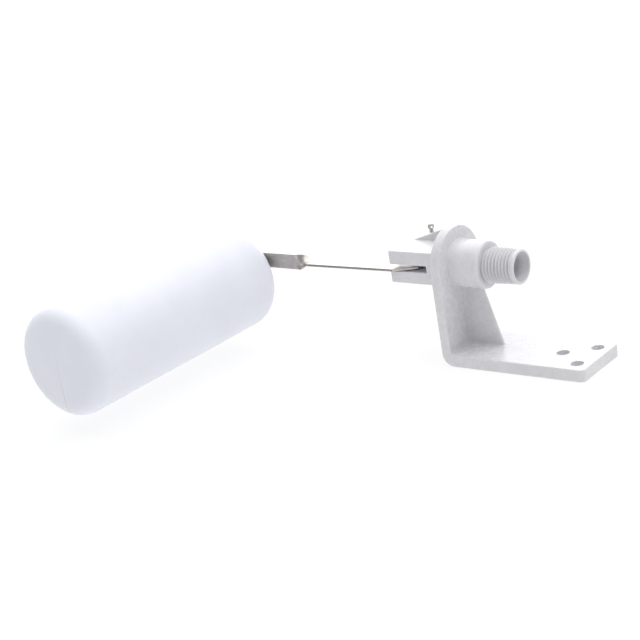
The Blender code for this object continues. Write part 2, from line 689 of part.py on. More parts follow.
def float_shell():
    """Blow-moulded drum, hollow, with two screw bosses and a filling hole in its far end."""
    near = FLOAT_FACE - FLOAT_LENGTH
    place = at(FLOAT_X, 0, FLOAT_Z) @ ALONG_Y
    item = turned("float_shell", float_profile(FLOAT_R, FLOAT_EDGE_R, near, FLOAT_FACE), place, 48)
    hollow = float_profile(FLOAT_R - FLOAT_WALL, FLOAT_EDGE_R - FLOAT_WALL, near + FLOAT_WALL,
                           FLOAT_FACE - FLOAT_WALL)
    combine(item, turned("float_hollow", hollow, place, 48), "DIFFERENCE")
    low = FLOAT_FACE - FLOAT_BOSS_LENGTH
    high = FLOAT_FACE - FLOAT_WALL / 2
    hole_low = FLOAT_FACE - FLOAT_SCREW_LENGTH - GAP
    for i, x in enumerate(float_screw_places()):
        boss_place = at(x, 0, TAB_Z) @ ALONG_Y
        combine(item, cylinder(f"float_boss_{i}", FLOAT_BOSS_R, low, high, boss_place), "UNION")
        mouth = FLOAT_FACE + OVERCUT
        hole = cylinder(f"float_boss_hole_{i}", FLOAT_SCREW_R + GAP, hole_low, mouth, boss_place)
        combine(item, hole, "DIFFERENCE")
    inside = FLOAT_FACE - FLOAT_WALL - OVERCUT
    fill = cylinder("fill_hole", FILL_HOLE_R, inside, FLOAT_FACE + OVERCUT, place)
    combine(item, fill, "DIFFERENCE")
    return as_part(item, FLOAT_PLASTIC)


def float_plug():
    """Plug pressed into the filling hole."""
    stem_r = FILL_HOLE_R - GAP
    seat = FLOAT_FACE + GAP
    tip = FLOAT_FACE - PLUG_LENGTH
    profile = [(0, seat + PLUG_HEAD_THICKNESS), (PLUG_HEAD_R, seat + PLUG_HEAD_THICKNESS),
               (PLUG_HEAD_R, seat), (stem_r, seat), (stem_r, tip + stem_r / 2), (stem_r / 2, tip), (0, tip)]
    item = turned("float_plug", profile, at(FLOAT_X, 0, FLOAT_Z) @ ALONG_Y, steps=28)
    return shade_round(as_part(item, FLOAT_PLASTIC))


def lock_washer(name, x):
    """Washer between the strip and a float screw's head."""
    low = TAB_FACE + GAP
    high = low + LOCK_WASHER_THICKNESS
    bore = FLOAT_SCREW_R + GAP
    profile = [(bore, high), (LOCK_WASHER_R, high), (LOCK_WASHER_R, low), (bore, low)]
    item = turned(name, profile, at(x, 0, TAB_Z) @ ALONG_Y, steps=28, ring=True)
    return shade_round(as_part(item, STAINLESS))


def float_screw(name, x):
    """Pan-head screw with a square drive, through the strip into the float's boss."""
    seat = TAB_FACE + LOCK_WASHER_THICKNESS + 2 * GAP
    top = seat + FLOAT_SCREW_HEAD
    tip = FLOAT_FACE - FLOAT_SCREW_LENGTH
    crown = FLOAT_SCREW_HEAD_R * 0.7
    profile = [(0, top), (crown, top), (FLOAT_SCREW_HEAD_R, top - FLOAT_SCREW_HEAD / 2),
               (FLOAT_SCREW_HEAD_R, seat), (FLOAT_SCREW_R, seat), (FLOAT_SCREW_R, tip + FLOAT_SCREW_R),
               (FLOAT_SCREW_R / 2, tip), (0, tip)]
    place = at(x, 0, TAB_Z) @ ALONG_Y
    item = turned(name, profile, place, steps=24)
    drive = cylinder(f"{name}_drive", SCREW_DRIVE_R, top - SCREW_DRIVE_DEPTH, top + OVERCUT, place, 4)
    combine(item, drive, "DIFFERENCE")
    return as_part(item, STAINLESS)


def build():
    valve_body()
    orifice_seat()
    seat_o_ring()
    pivot_cotter_pin()
    arm_washer()

    slide = joint_empty("plunger_axis", (PLUNGER_FACE, 0, AXIS_HEIGHT))
    carry(slide, [plunger(), plunger_seal()])

    swing = joint_empty("arm_pivot", PIVOT)
    moving = [float_arm(), float_shell(), float_plug()]
    for side, x in zip(("outer", "inner"), float_screw_places()):
        moving.append(lock_washer(f"{side}_float_washer", x))
        moving.append(float_screw(f"{side}_float_screw", x))
    carry(swing, moving)
    bpy.context.view_layer.update()


build()
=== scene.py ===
"""Float valve, dressed for a product shot: a white moulded bracket with a threaded inlet, a stainless strip
arm on a split pin, and a blow-moulded float. Metres, +Z up. The foot stands on z = 0, the inlet points to
+X, the arm leaves to -X and the float lies along -Y.
"""
import json

import bmesh
import bpy
import numpy as np
from mathutils import Matrix, Vector


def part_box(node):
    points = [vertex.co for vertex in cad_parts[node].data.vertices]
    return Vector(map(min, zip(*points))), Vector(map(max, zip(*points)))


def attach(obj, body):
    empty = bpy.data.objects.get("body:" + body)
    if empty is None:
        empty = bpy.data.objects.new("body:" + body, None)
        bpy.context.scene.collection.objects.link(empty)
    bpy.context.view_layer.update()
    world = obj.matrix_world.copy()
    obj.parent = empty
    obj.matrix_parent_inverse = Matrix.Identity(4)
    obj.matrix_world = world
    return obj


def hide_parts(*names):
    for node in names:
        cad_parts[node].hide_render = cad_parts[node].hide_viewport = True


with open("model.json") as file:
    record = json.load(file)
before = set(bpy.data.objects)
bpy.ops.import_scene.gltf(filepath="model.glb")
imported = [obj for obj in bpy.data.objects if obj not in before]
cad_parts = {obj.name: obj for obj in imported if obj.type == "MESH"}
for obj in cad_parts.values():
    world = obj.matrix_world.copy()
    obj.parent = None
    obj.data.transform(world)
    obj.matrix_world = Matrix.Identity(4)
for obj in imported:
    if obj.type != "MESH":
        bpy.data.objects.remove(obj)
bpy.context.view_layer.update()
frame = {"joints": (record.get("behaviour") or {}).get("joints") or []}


# ---------------------------------------------------------------- valve body
# The bracket, barrel and clevis are one injection moulding in white acetal. Every outer corner left the tool
# with a small radius, and every inner one with a fillet, so the whole body is worked out as one skin.

body_low, body_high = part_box("valve_body")
seat_low, seat_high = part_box("orifice_seat")
AXIS_Z = (seat_low.z + seat_high.z) / 2         # height of the water way
FOOT_END = body_high.x
CLEVIS_END = body_low.x
FOOT_REACH = 0.0565
PLATE_THICKNESS = 0.0040
PLATE_FRONT = FOOT_END - FOOT_REACH
PLATE_BACK = PLATE_FRONT - PLATE_THICKNESS
HEAD_R = body_high.y
FOOT_HALF_WIDTH = 0.0139
FOOT_THICKNESS = 0.0048
BEND_OUTER_R = 0.0050
BEND_INNER_R = 0.0014
FOOT_CORNER_R = 0.0020
EDGE_R = 0.00045                                # on the outer corners
FILLET_R = 0.0007                               # in the inner corners
FOOT_HOLES = ((0.0034, -0.0080), (0.0034, 0.0080), (-0.0068, 0.0))
FOOT_HOLE_R = 0.0024
WEB_SIDES = (0.0004, 0.0020)                    # in Y
WEB_REACH = (0.0083, 0.0149)                    # from the plate, under the barrel and on the foot
GUSSET_SIDES = (0.0032, 0.0054)                 # in Y
GUSSET_LENGTH = 0.0185
GUSSET_RISE = 0.0064
BARREL_R = 0.0092
BARREL_END = PLATE_FRONT + 0.0134
BARREL_EDGE_R = 0.0010
CLEVIS_SIDES = (-0.0111, 0.0119)                # in Y
CLEVIS_HEIGHTS = (-0.0059, 0.0070)              # from the water way's axis
CLEVIS_CORNER_R = 0.0007
SHOULDER_X = PLATE_FRONT + 0.0055
CHAMBER_WALL_X = PLATE_FRONT + 0.0015
SLEEVE_R = 0.0056                               # bored out for the nipple's wall
THROAT_R = 0.0025
CHAMBER_R = 0.0043
SLOT_Z = AXIS_Z + 0.0002
SLOT_HEIGHT = 0.0028
SLOT_END = PLATE_FRONT - 0.0080
STOP_LUG_X = CLEVIS_END + 0.0020
STOP_LUG_Y = 0.00508
PIVOT = Vector(frame["joints"][0]["pos_m"])
PIN_HOLE_R = 0.0011
EJECTOR_R = 0.0020
EJECTOR_DEPTH = 0.00025
EJECTOR_Y = 0.0085                              # each mark is paired across y = 0
EJECTOR_PLATE_Z = 0.0160
EJECTOR_FOOT_X = -0.0230
EJECTOR_CLEVIS_X = -0.0570
BODY_STEP = 0.00034                             # size of the skin's faces


def span(a, low, high):
    """Distance outside the slab low < a < high, below zero inside it."""
    return np.maximum(low - a, a - high)


def both(a, b, radius=0.0):
    """The space inside a and b. Where both are within the radius, the corner is an arc of that radius."""
    if not radius:
        return np.maximum(a, b)
    arc = np.hypot(np.maximum(radius + a, 0), np.maximum(radius + b, 0))
    return np.minimum(-radius, np.maximum(a, b)) + arc


def either(a, b, radius=0.0):
    """The space inside a or b, with a fillet of that radius between them."""
    return -both(-a, -b, radius)


def ejector_mark(x, y, across, depth_from):
    """Shallow round dish that a tool pin leaves: its depth falls to nothing over the dish's rim, and with the
    distance from the face that it is pressed into."""
    rim = np.clip((EJECTOR_R - np.hypot(x, y)) / (EJECTOR_R / 4), 0, 1)
    near = np.clip(1 - np.abs(across - depth_from) / EDGE_R, 0, 1)
    return EJECTOR_DEPTH * rim * rim * (3 - 2 * rim) * near


def bracket_field(x, y, z):
    """Bent plate: an L-shaped section, round at the bend, cut to the outline of the head, sides and foot."""
    rise = z - AXIS_Z
    draw_in = (HEAD_R - FOOT_HALF_WIDTH) / AXIS_Z
    side = np.where(rise > 0, np.hypot(y, rise), np.abs(y) - draw_in * rise) - HEAD_R
    legs = either(span(x, PLATE_BACK, PLATE_FRONT), span(z, 0, FOOT_THICKNESS), BEND_INNER_R)
    section = both(legs, both(PLATE_BACK - x, -z, BEND_OUTER_R))
    return both(section, both(x - FOOT_END, side, FOOT_CORNER_R), EDGE_R)


def clevis_field(x, y, z):
    """Block behind the plate, and the sloping gusset that ties it to the plate's head."""
    rise = z - AXIS_Z
    ends = both(CLEVIS_END - x, x - PLATE_FRONT + PLATE_THICKNESS / 2)
    plan = both(ends, span(y, *CLEVIS_SIDES), CLEVIS_CORNER_R)
    block = both(plan, span(rise, *CLEVIS_HEIGHTS), EDGE_R)
    slope = GUSSET_RISE / GUSSET_LENGTH
    top = (rise - CLEVIS_HEIGHTS[1] - slope * (x - PLATE_BACK + GUSSET_LENGTH)) / np.hypot(1, slope)
    wedge = both(both(top, span(y, *GUSSET_SIDES), EDGE_R / 2), -rise)
    stretch = span(x, PLATE_BACK - GUSSET_LENGTH, PLATE_BACK + PLATE_THICKNESS / 4)
    return either(block, both(wedge, stretch), FILLET_R / 2)


def inlet_field(x, y, z):
    """Barrel in front of the plate, and the sloping web that stands under it on the foot."""
    rise = z - AXIS_Z
    barrel = both(np.hypot(y, rise) - BARREL_R, x - BARREL_END, BARREL_EDGE_R)
    height = AXIS_Z - BARREL_R - FOOT_THICKNESS
    slope = (WEB_REACH[1] - WEB_REACH[0]) / height
    edge = (x - PLATE_FRONT - WEB_REACH[1] + slope * (z - FOOT_THICKNESS)) / np.hypot(1, slope)
    web = both(both(edge, span(y, *WEB_SIDES), EDGE_R), span(z, FOOT_THICKNESS / 2, AXIS_Z))
    return both(either(barrel, web, FILLET_R), PLATE_FRONT - PLATE_THICKNESS / 2 - x)


def hollows_field(x, y, z):
    """What is bored or slotted out: water way, plunger chamber, arm slot, pin hole and the foot's holes."""
    rise = z - AXIS_Z
    radius = np.hypot(y, rise)
    sleeve = both(radius - SLEEVE_R, SHOULDER_X - x)
    throat = both(radius - THROAT_R, CHAMBER_WALL_X - FILLET_R - x)
    chamber = both(radius - CHAMBER_R, x - CHAMBER_WALL_X)
    slot = both(np.abs(z - SLOT_Z) - SLOT_HEIGHT / 2, x - SLOT_END)
    slot = both(slot, -both(x - STOP_LUG_X, STOP_LUG_Y - y))
    pin = both(np.hypot(x - PIVOT.x, y - PIVOT.y) - PIN_HOLE_R, AXIS_Z + 2 * CLEVIS_HEIGHTS[0] - z)
    space = either(either(sleeve, throat), either(either(chamber, slot), pin))
    for hole_x, hole_y in FOOT_HOLES:
        space = either(space, both(np.hypot(x - hole_x, y - hole_y) - FOOT_HOLE_R, z - 2 * FOOT_THICKNESS))
    return space


def body_field(x, y, z):
    """Distance outside the whole moulding, below zero inside the plastic."""
    solid = either(bracket_field(x, y, z), clevis_field(x, y, z), FILLET_R)
    solid = either(solid, inlet_field(x, y, z), FILLET_R)
    solid = both(solid, -hollows_field(x, y, z), EDGE_R / 2)
    for mark_y in (-EJECTOR_Y, EJECTOR_Y):
        solid = solid + ejector_mark(y - mark_y, z - EJECTOR_PLATE_Z, x, PLATE_BACK)
        solid = solid + ejector_mark(x - EJECTOR_FOOT_X, y - mark_y, z, 0.0)
        solid = solid + ejector_mark(x - EJECTOR_CLEVIS_X, y - mark_y, z, AXIS_Z + CLEVIS_HEIGHTS[0])
    return solid


def slope_of(field, points, reach=2e-5):
    """Slope of a field at points (n, 3), from its change over a short reach each way along X, Y and Z."""
    slopes = np.empty_like(points)
    for axis in range(3):
        ahead, behind = points.copy(), points.copy()
        ahead[:, axis] += reach
        behind[:, axis] -= reach
        slopes[:, axis] = (field(*ahead.T) - field(*behind.T)) / (2 * reach)
    return slopes


def skin(name, field, low, high, step):
    """Mesh of the surface where a field is zero. Each grid cell that the surface crosses gets one vertex, at
    the mean of the crossings on the cell's edges, and each crossed grid edge joins its four cells with one
    face. The vertices then slide down the field's slope on to the surface, and it gives the normals too."""
    axes = [np.arange(a - 2 * step, b + 3 * step, step) for a, b in zip(low, high)]
    value = field(*np.meshgrid(*axes, indexing="ij", sparse=True))
    value = np.ascontiguousarray(np.broadcast_to(value, [len(axis) for axis in axes]))
    inside = value < 0
    corners = sum(inside[i:i - 1 or None, j:j - 1 or None, k:k - 1 or None].astype(np.int8)
                  for i in (0, 1) for j in (0, 1) for k in (0, 1))
    crossed = (corners > 0) & (corners < 8)
    number = np.full(crossed.shape, -1)
    number[crossed] = np.arange(crossed.sum())
    cell = np.argwhere(crossed)
    total, hits = np.zeros(cell.shape), np.zeros(len(cell))
    quads = []
    for axis in range(3):
        along, first, second = np.eye(3, dtype=int)[[axis, (axis + 1) % 3, (axis + 2) % 3]]
        for offset in (0 * along, first, second, first + second):
            start = cell + offset
            before, after = value[tuple(start.T)], value[tuple((start + along).T)]
            cut = (before < 0) != (after < 0)
            share = np.divide(before, before - after, out=np.zeros(len(cell)), where=cut)
            total += np.where(cut[:, None], start + share[:, None] * along, 0)
            hits += cut
        first_half, second_half = [slice(None)] * 3, [slice(None)] * 3
        first_half[axis], second_half[axis] = slice(None, -1), slice(1, None)
        edge = np.argwhere(inside[tuple(first_half)] != inside[tuple(second_half)])
        ring = [number[tuple((edge - shift).T)] for shift in (first + second, second, 0 * along, first)]
        ring = np.stack(ring, axis=1)
        leaving = inside[tuple(edge.T)]
        quads.append(np.where(leaving[:, None], ring, ring[:, ::-1]))
    points = np.array([axis[0] for axis in axes]) + step * total / hits[:, None]
    for _ in range(5):
        slopes = slope_of(field, points)
        size = np.maximum((slopes ** 2).sum(axis=1), 0.05)
        points -= np.clip(field(*points.T) / size, -step, step)[:, None] * slopes
    return mesh_object(name, points, np.concatenate(quads), slope_of(field, points))


def mesh_object(name, points, quads, normals=None):
    """Smooth object in the scene from points (n, 3), faces (m, 4) and, where they are given, normals."""
    mesh = bpy.data.meshes.new(name)
    mesh.vertices.add(len(points))
    mesh.vertices.foreach_set("co", np.asarray(points, np.float32).ravel())
    mesh.loops.add(quads.size)
    mesh.loops.foreach_set("vertex_index", np.asarray(quads, np.int32).ravel())
    mesh.polygons.add(len(quads))
    mesh.polygons.foreach_set("loop_start", np.arange(0, quads.size, quads.shape[1], dtype=np.int32))
    mesh.update(calc_edges=True)
    mesh.validate()
    mesh.shade_smooth()
    if normals is not None:
        size = np.linalg.norm(normals, axis=1, keepdims=True)
        mesh.normals_split_custom_set_from_vertices(normals / np.maximum(size, 1e-9))
    item = bpy.data.objects.new(name, mesh)
    bpy.context.scene.collection.objects.link(item)
    return item


def add_node(tree, kind, inputs=None, **settings):
    """Shader node with its settings, and with its inputs as plain values or as other nodes' outputs."""
    node = tree.nodes.new(kind)
    for key, value in settings.items():
        setattr(node, key, value)
    for key, value in (inputs or {}).items():
        if isinstance(value, bpy.types.NodeSocket):
            tree.links.new(value, node.inputs[key])
        else:
            node.inputs[key].default_value = value
    return node


def new_finish(name, **constants):
    """Material with an empty tree: its Principled shader, and the piece's own coordinates."""
    finish = bpy.data.materials.new(name)
    finish.use_nodes = True
    tree = finish.node_tree
    shader = tree.nodes["Principled BSDF"]
    for key, value in constants.items():
        shader.inputs[key.replace("_", " ").title().replace("Ior", "IOR")].default_value = value
    place = add_node(tree, "ShaderNodeTexCoord").outputs["Object"]
    return finish, tree, shader, place


def worked_out(tree, operation, *values):
    """Result of arithmetic on plain values and other nodes' outputs."""
    return add_node(tree, "ShaderNodeMath", dict(enumerate(values)), operation=operation).outputs[0]


def parted(tree, place):
    """A place's X, Y and Z, by name."""
    return add_node(tree, "ShaderNodeSeparateXYZ", {0: place}).outputs


def distance_from(tree, value, level):
    """How far a value is from a level, either way."""
    return worked_out(tree, "ABSOLUTE", worked_out(tree, "SUBTRACT", value, level))


def noise(tree, place, scale, detail=2.0, roughness=0.5):
    """Noise output; one blob is about 1 / scale metres across."""
    inputs = {"Vector": place, "Scale": scale, "Detail": detail, "Roughness": roughness}
    return add_node(tree, "ShaderNodeTexNoise", inputs).outputs["Fac"]


def ranged(tree, value, low, high, start=0.3, end=0.7):
    """The value's stretch from start to end, laid over low to high."""
    inputs = {"Value": value, "From Min": start, "From Max": end, "To Min": low, "To Max": high}
    return add_node(tree, "ShaderNodeMapRange", inputs).outputs["Result"]


def blended(tree, share, first, second):
    """Mix of two colours."""
    inputs = {"Factor": share, 6: first, 7: second}
    return add_node(tree, "ShaderNodeMix", inputs, data_type="RGBA").outputs[2]


def bumped(tree, height, distance, strength=1.0, under=None):
    """Normal from a height of 0 to 1 that stands for a real distance, on top of another bump."""
    inputs = {"Height": height, "Distance": distance, "Strength": strength}
    if under is not None:
        inputs["Normal"] = under
    return add_node(tree, "ShaderNodeBump", inputs).outputs["Normal"]


def body_plastic(name="body_plastic", painted_shade=None):
    """Satin moulded acetal: faint flow clouds in colour and gloss, a fine spark-eroded tool grain, and the
    tool's parting line around the rim of the plate. The optional last argument may work out where painted
    shade greys the colour, from 0 to 1."""
    finish, tree, shader, place = new_finish(name, ior=1.48, subsurface_weight=0.12,
                                             subsurface_scale=0.0012, specular_ior_level=0.45)
    shader.inputs["Subsurface Radius"].default_value = (1.0, 0.9, 0.85)
    clouds = noise(tree, place, 160, 4.0, 0.6)
    colour = blended(tree, ranged(tree, clouds, 0, 1), (0.690, 0.684, 0.706, 1), (0.745, 0.740, 0.760, 1))
    specks = ranged(tree, noise(tree, place, 1400, 2.0), 0, 0.10, 0.66, 0.74)
    colour = blended(tree, specks, colour, (0.56, 0.55, 0.55, 1))
    # painted shade: the colour is greyed where the mask says, standing in for shade in hollows such as the
    # thread's roots
    if painted_shade is not None:
        colour = blended(tree, painted_shade(tree, place), colour, (0.40, 0.39, 0.40, 1))
    tree.links.new(colour, shader.inputs["Base Color"])
    tree.links.new(ranged(tree, noise(tree, place, 420, 3.0), 0.22, 0.32), shader.inputs["Roughness"])
    grain = bumped(tree, noise(tree, place, 5200, 2.0), 0.000018)
    ripple = bumped(tree, noise(tree, place, 520, 1.0), 0.00005, 0.6, grain)
    offset = distance_from(tree, parted(tree, place)["X"], PLATE_BACK + PLATE_THICKNESS / 2)
    line = ranged(tree, offset, 1, 0, 0.00006, 0.00022)
    tree.links.new(bumped(tree, line, 0.00006, 0.8, ripple), shader.inputs["Normal"])
    return finish


BODY_PLASTIC = body_plastic()
valve_moulding = skin("valve_moulding", body_field, body_low, body_high, BODY_STEP)
valve_moulding.data.materials.append(BODY_PLASTIC)
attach(valve_moulding, "valve_body")
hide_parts("valve_body")


# ---------------------------------------------------------------- inlet nipple
# Quarter-inch taper pipe thread, moulded in one with the barrel in an unscrewing tool. A plain lip leads the
# thread in, the flanks are rounded with painted shade greying the roots, and the bore narrows from its mouth.

NIPPLE_LENGTH = 0.0140
NIPPLE_END = BARREL_END + NIPPLE_LENGTH
THREAD_TIP_R = 0.0066
THREAD_TAPER = 1 / 32                           # radius gained per length
THREAD_PITCH = 0.00141
THREAD_DEPTH = 0.00095
NECK_LENGTH = 0.0009
NIPPLE_SINK = 0.0003                            # its neck starts this far inside the barrel
SLEEVE_OVERLAP = 0.0004                         # its sleeve lies this deep in the barrel's wall
LIP_LENGTH = 0.0011
LIP_CHAMFER = 0.0003
BORE_R = 0.0050
MOUTH_R = 0.0057
MOUTH_DEPTH = 0.0040


def sampled(profile, spacing):
    """Points (radius, place) of a profile, with extra ones so that none is further than the spacing apart."""
    profile = np.asarray(profile, float)
    lengths = np.linalg.norm(np.diff(profile, axis=0), axis=1)
    counts = np.maximum(np.ceil(lengths / spacing).astype(int), 1)
    travel = np.concatenate([[0], np.cumsum(lengths)])
    stops = np.concatenate([np.linspace(a, b, n, endpoint=False)
                            for a, b, n in zip(travel, travel[1:], counts)] + [travel[-1:]])
    return np.stack([np.interp(stops, travel, profile[:, i]) for i in (0, 1)], axis=1)


def closed_grid(name, points, closed_rows=False, sharp=40):
    """Mesh of a grid of points (rows, columns, 3), closed along its columns; each end row that has come to
    one point is a pole. With closed_rows the last row also joins the first, as on a ring."""
    rows, columns = points.shape[:2]
    bands = rows if closed_rows else rows - 1
    row, column = [axis.ravel() for axis in np.meshgrid(np.arange(bands), np.arange(columns), indexing="ij")]
    ahead, aside = (row + 1) % rows, (column + 1) % columns
    quads = np.stack([row * columns + column, row * columns + aside, ahead * columns + aside,
                      ahead * columns + column], axis=1)
    return welded(mesh_object(name, points.reshape(-1, 3), quads), sharp)


def welded(item, sharp, distance=1e-6):
    """Merge an object's doubled points, drop faces of no area, and turn the rest outwards. Edges bent by more
    than the sharp angle in degrees stay crisp."""
    work = bmesh.new()
    work.from_mesh(item.data)
    bmesh.ops.remove_doubles(work, verts=work.verts, dist=distance)
    bmesh.ops.dissolve_degenerate(work, edges=work.edges, dist=distance / 10)
    bmesh.ops.recalc_face_normals(work, faces=work.faces)
    work.to_mesh(item.data)
    work.free()
    item.data.shade_smooth()
    item.data.set_sharp_from_angle(angle=np.radians(sharp))
    return item


def threaded_nipple():
    """A profile turned about the water way, with the thread as a change of radius: a groove with a rounded
    root and crest, whose phase is the distance along the nipple over the pitch, less the angle over a full
    turn. Its depth is (s + s * s * (3 - 2 * s)) / 2 of the full one, where s runs from 0 at the crest to 1 at
    the root."""
    neck = THREAD_TIP_R + NIPPLE_LENGTH * THREAD_TAPER
    sunk = BARREL_END - NIPPLE_SINK
    sleeve_r = SLEEVE_R + SLEEVE_OVERLAP
    outer = [(BORE_R, SHOULDER_X), (sleeve_r, SHOULDER_X), (sleeve_r, sunk), (neck, sunk)]
    ridge = sampled([(neck, sunk), (THREAD_TIP_R, NIPPLE_END - LIP_CHAMFER)], 0.00007)
    mouth = [(THREAD_TIP_R - LIP_CHAMFER * 0.3, NIPPLE_END - LIP_CHAMFER * 0.3),
             (THREAD_TIP_R - LIP_CHAMFER, NIPPLE_END)]
    bore = sampled([(MOUTH_R, NIPPLE_END), (BORE_R, NIPPLE_END - MOUTH_DEPTH), (BORE_R, SHOULDER_X)], 0.0008)
    profile = np.concatenate([outer, ridge[1:], mouth, bore[:-1]])
    radius, along = profile.T
    angle = np.linspace(0, 2 * np.pi, 192, endpoint=False)
    start, end = BARREL_END + NECK_LENGTH, NIPPLE_END - LIP_LENGTH
    phase = (along[:, None] - start) / THREAD_PITCH - angle[None] / (2 * np.pi)
    flank = np.abs(2 * (phase % 1) - 1)
    depth = THREAD_DEPTH * (flank + flank * flank * (3 - 2 * flank)) / 2
    run = np.clip((end - along) / (THREAD_PITCH / 2), 0, 1) * (radius > THREAD_TIP_R - LIP_CHAMFER / 2)
    run = run * (along > sunk - 0.0001)
    depth = np.where(along[:, None] < start, THREAD_DEPTH, depth) * run[:, None]
    reach = radius[:, None] - depth
    x = np.broadcast_to(along[:, None], reach.shape)
    points = np.stack([x, reach * np.cos(angle), AXIS_Z + reach * np.sin(angle)], axis=2)
    return closed_grid("inlet_nipple", points, closed_rows=True, sharp=70)


def groove_shade_share(tree, place):
    """Share of painted shade in the thread: how deep a point lies in it, 0 at the crests' cone, on the lip
    and at the neck, and most at the roots, from its distance to the water way less the taper."""
    apart = parted(tree, place)
    rise = worked_out(tree, "SUBTRACT", apart["Z"], AXIS_Z)
    across = add_node(tree, "ShaderNodeCombineXYZ", {"Y": apart["Y"], "Z": rise}).outputs[0]
    radius = add_node(tree, "ShaderNodeVectorMath", {0: across}, operation="LENGTH").outputs["Value"]
    level = worked_out(tree, "MULTIPLY_ADD", apart["X"], THREAD_TAPER, radius)
    crest = THREAD_TIP_R + NIPPLE_END * THREAD_TAPER
    groove = ranged(tree, level, 0.40, 0, crest - THREAD_DEPTH, crest - THREAD_DEPTH * 0.2)
    wall = ranged(tree, level, 0, 1, crest - THREAD_DEPTH - 0.0002, crest - THREAD_DEPTH - 0.0001)
    lip = ranged(tree, apart["X"], 1, 0, NIPPLE_END - LIP_LENGTH, NIPPLE_END - LIP_LENGTH * 0.6)
    neck = ranged(tree, apart["X"], 0, 1, BARREL_END + 0.0004, BARREL_END + 0.0012)
    for limit in (lip, neck, wall):
        groove = worked_out(tree, "MULTIPLY", groove, limit)
    return groove


inlet_nipple = threaded_nipple()
# the thread's roots get painted shade in their colour
inlet_nipple.data.materials.append(body_plastic("thread_plastic", groove_shade_share))
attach(inlet_nipple, "valve_body")
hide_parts("valve_body")


# ---------------------------------------------------------------- orifice seat and its ring
# The seat is a turned brass insert that drops down the bore on to a shoulder, with a rubber ring under its
# flange. Its raised lip looks into the plunger's chamber, and water comes through the small hole in it.

SEAT_GAP = 0.0003
SEAT_FLANGE_LENGTH = 0.0020
SEAT_FUNNEL_R = 0.0030
SEAT_LIP_R = 0.0017
ORIFICE_R = 0.0012
RING_SECTION_R = 0.0008
RING_FIT = 0.98
CHAMFER = 0.00012


def eased(profile, size, closed=False, steps=4):
    """Profile with each corner replaced by a curve that starts and ends the given size away from it."""
    profile = np.asarray(profile, float)
    count = len(profile)
    share = np.linspace(0, 1, steps + 1)[:, None]
    parts = []
    for i, corner in enumerate(profile):
        if not closed and i in (0, count - 1):
            parts.append(corner[None])
            continue
        before, after = profile[i - 1] - corner, profile[(i + 1) % count] - corner
        cuts = [side * min(size / np.linalg.norm(side), 0.45) for side in (before, after)]
        parts.append(corner + cuts[0] * (1 - share) ** 2 + cuts[1] * share ** 2)
    return np.concatenate(parts)


def turned(name, profile, axis, centre, columns=96, ring=False, reach=None):
    """Surface of a profile of (radius, place along the axis) turned about an axis through a centre. With ring
    the profile is closed; otherwise it starts and ends on the axis. reach may change the radii, from the
    radius, the angle and the place along the axis."""
    radius, along = np.asarray(profile, float).T
    angle = np.linspace(0, 2 * np.pi, columns, endpoint=False)[None]
    radius = np.broadcast_to(radius[:, None], (len(along), columns))
    if reach is not None:
        radius = reach(radius, angle, along[:, None])
    first, second = radius * np.cos(angle), radius * np.sin(angle)
    along = np.broadcast_to(along[:, None], first.shape)
    x, y, z = {"X": (along, first, second), "Y": (second, along, first), "Z": (first, second, along)}[axis]
    place = np.array([0 if letter == axis else value for letter, value in zip("XYZ", centre)])
    return closed_grid(name, np.stack([x, y, z], axis=2) + place, closed_rows=ring)


def machined(name, colour, roughness, ring_scale, direction, centre):
    """Turned metal: fine rings left by the tool about the piece's axis, which runs in the given direction
    through the centre, and a little tarnish."""
    finish, tree, shader, place = new_finish(name, metallic=1.0)
    spread = noise(tree, place, 900, 3.0, 0.6)
    dull = [0.72 * value for value in colour]
    tarnished = blended(tree, ranged(tree, spread, 0, 1), (*colour, 1), (*dull, 1))
    tree.links.new(tarnished, shader.inputs["Base Color"])
    tree.links.new(ranged(tree, spread, roughness * 0.8, roughness * 1.4), shader.inputs["Roughness"])
    shift = {"Vector": place, "Location": [-value for value in centre]}
    centred = add_node(tree, "ShaderNodeMapping", shift).outputs[0]
    inputs = {"Vector": centred, "Scale": ring_scale, "Distortion": 0.3}
    rings = add_node(tree, "ShaderNodeTexWave", inputs, wave_type="RINGS", rings_direction=direction)
    tree.links.new(bumped(tree, rings.outputs["Fac"], 0.000012), shader.inputs["Normal"])
    return finish


def rubber():
    """Black nitrile: matte, with a little bloom on it."""
    finish, tree, shader, place = new_finish("rubber", ior=1.5, specular_ior_level=0.4)
    bloom = noise(tree, place, 1500, 3.0, 0.6)
    colour = blended(tree, ranged(tree, bloom, 0, 1), (0.022, 0.022, 0.024, 1), (0.050, 0.050, 0.052, 1))
    tree.links.new(colour, shader.inputs["Base Color"])
    tree.links.new(ranged(tree, bloom, 0.55, 0.80), shader.inputs["Roughness"])
    tree.links.new(bumped(tree, noise(tree, place, 6000, 2.0), 0.00002), shader.inputs["Normal"])
    return finish


def orifice_seat():
    """Turned profile: funnel, flange, nose and lip, with the orifice through them."""
    flange = seat_high.x - SEAT_FLANGE_LENGTH
    nose_r, flange_r = THROAT_R - SEAT_GAP, BORE_R - SEAT_GAP
    profile = [(SEAT_FUNNEL_R, seat_high.x), (flange_r, seat_high.x), (flange_r, flange), (nose_r, flange),
               (nose_r, CHAMBER_WALL_X), (SEAT_LIP_R, seat_low.x), (ORIFICE_R, seat_low.x),
               (ORIFICE_R, flange)]
    return turned("brass_seat", eased(profile, CHAMFER, closed=True), "X", (0, 0, AXIS_Z), ring=True)


def seat_ring():
    """Circle turned about the water way, a little slimmer than the ring's room."""
    low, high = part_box("seat_o_ring")
    angle = np.linspace(0, -2 * np.pi, 28, endpoint=False)
    section_r = RING_SECTION_R * RING_FIT
    profile = np.stack([THROAT_R + RING_SECTION_R + section_r * np.cos(angle),
                        (low.x + high.x) / 2 + section_r * np.sin(angle)], axis=1)
    return turned("seat_ring", profile, "X", (0, 0, AXIS_Z), ring=True)


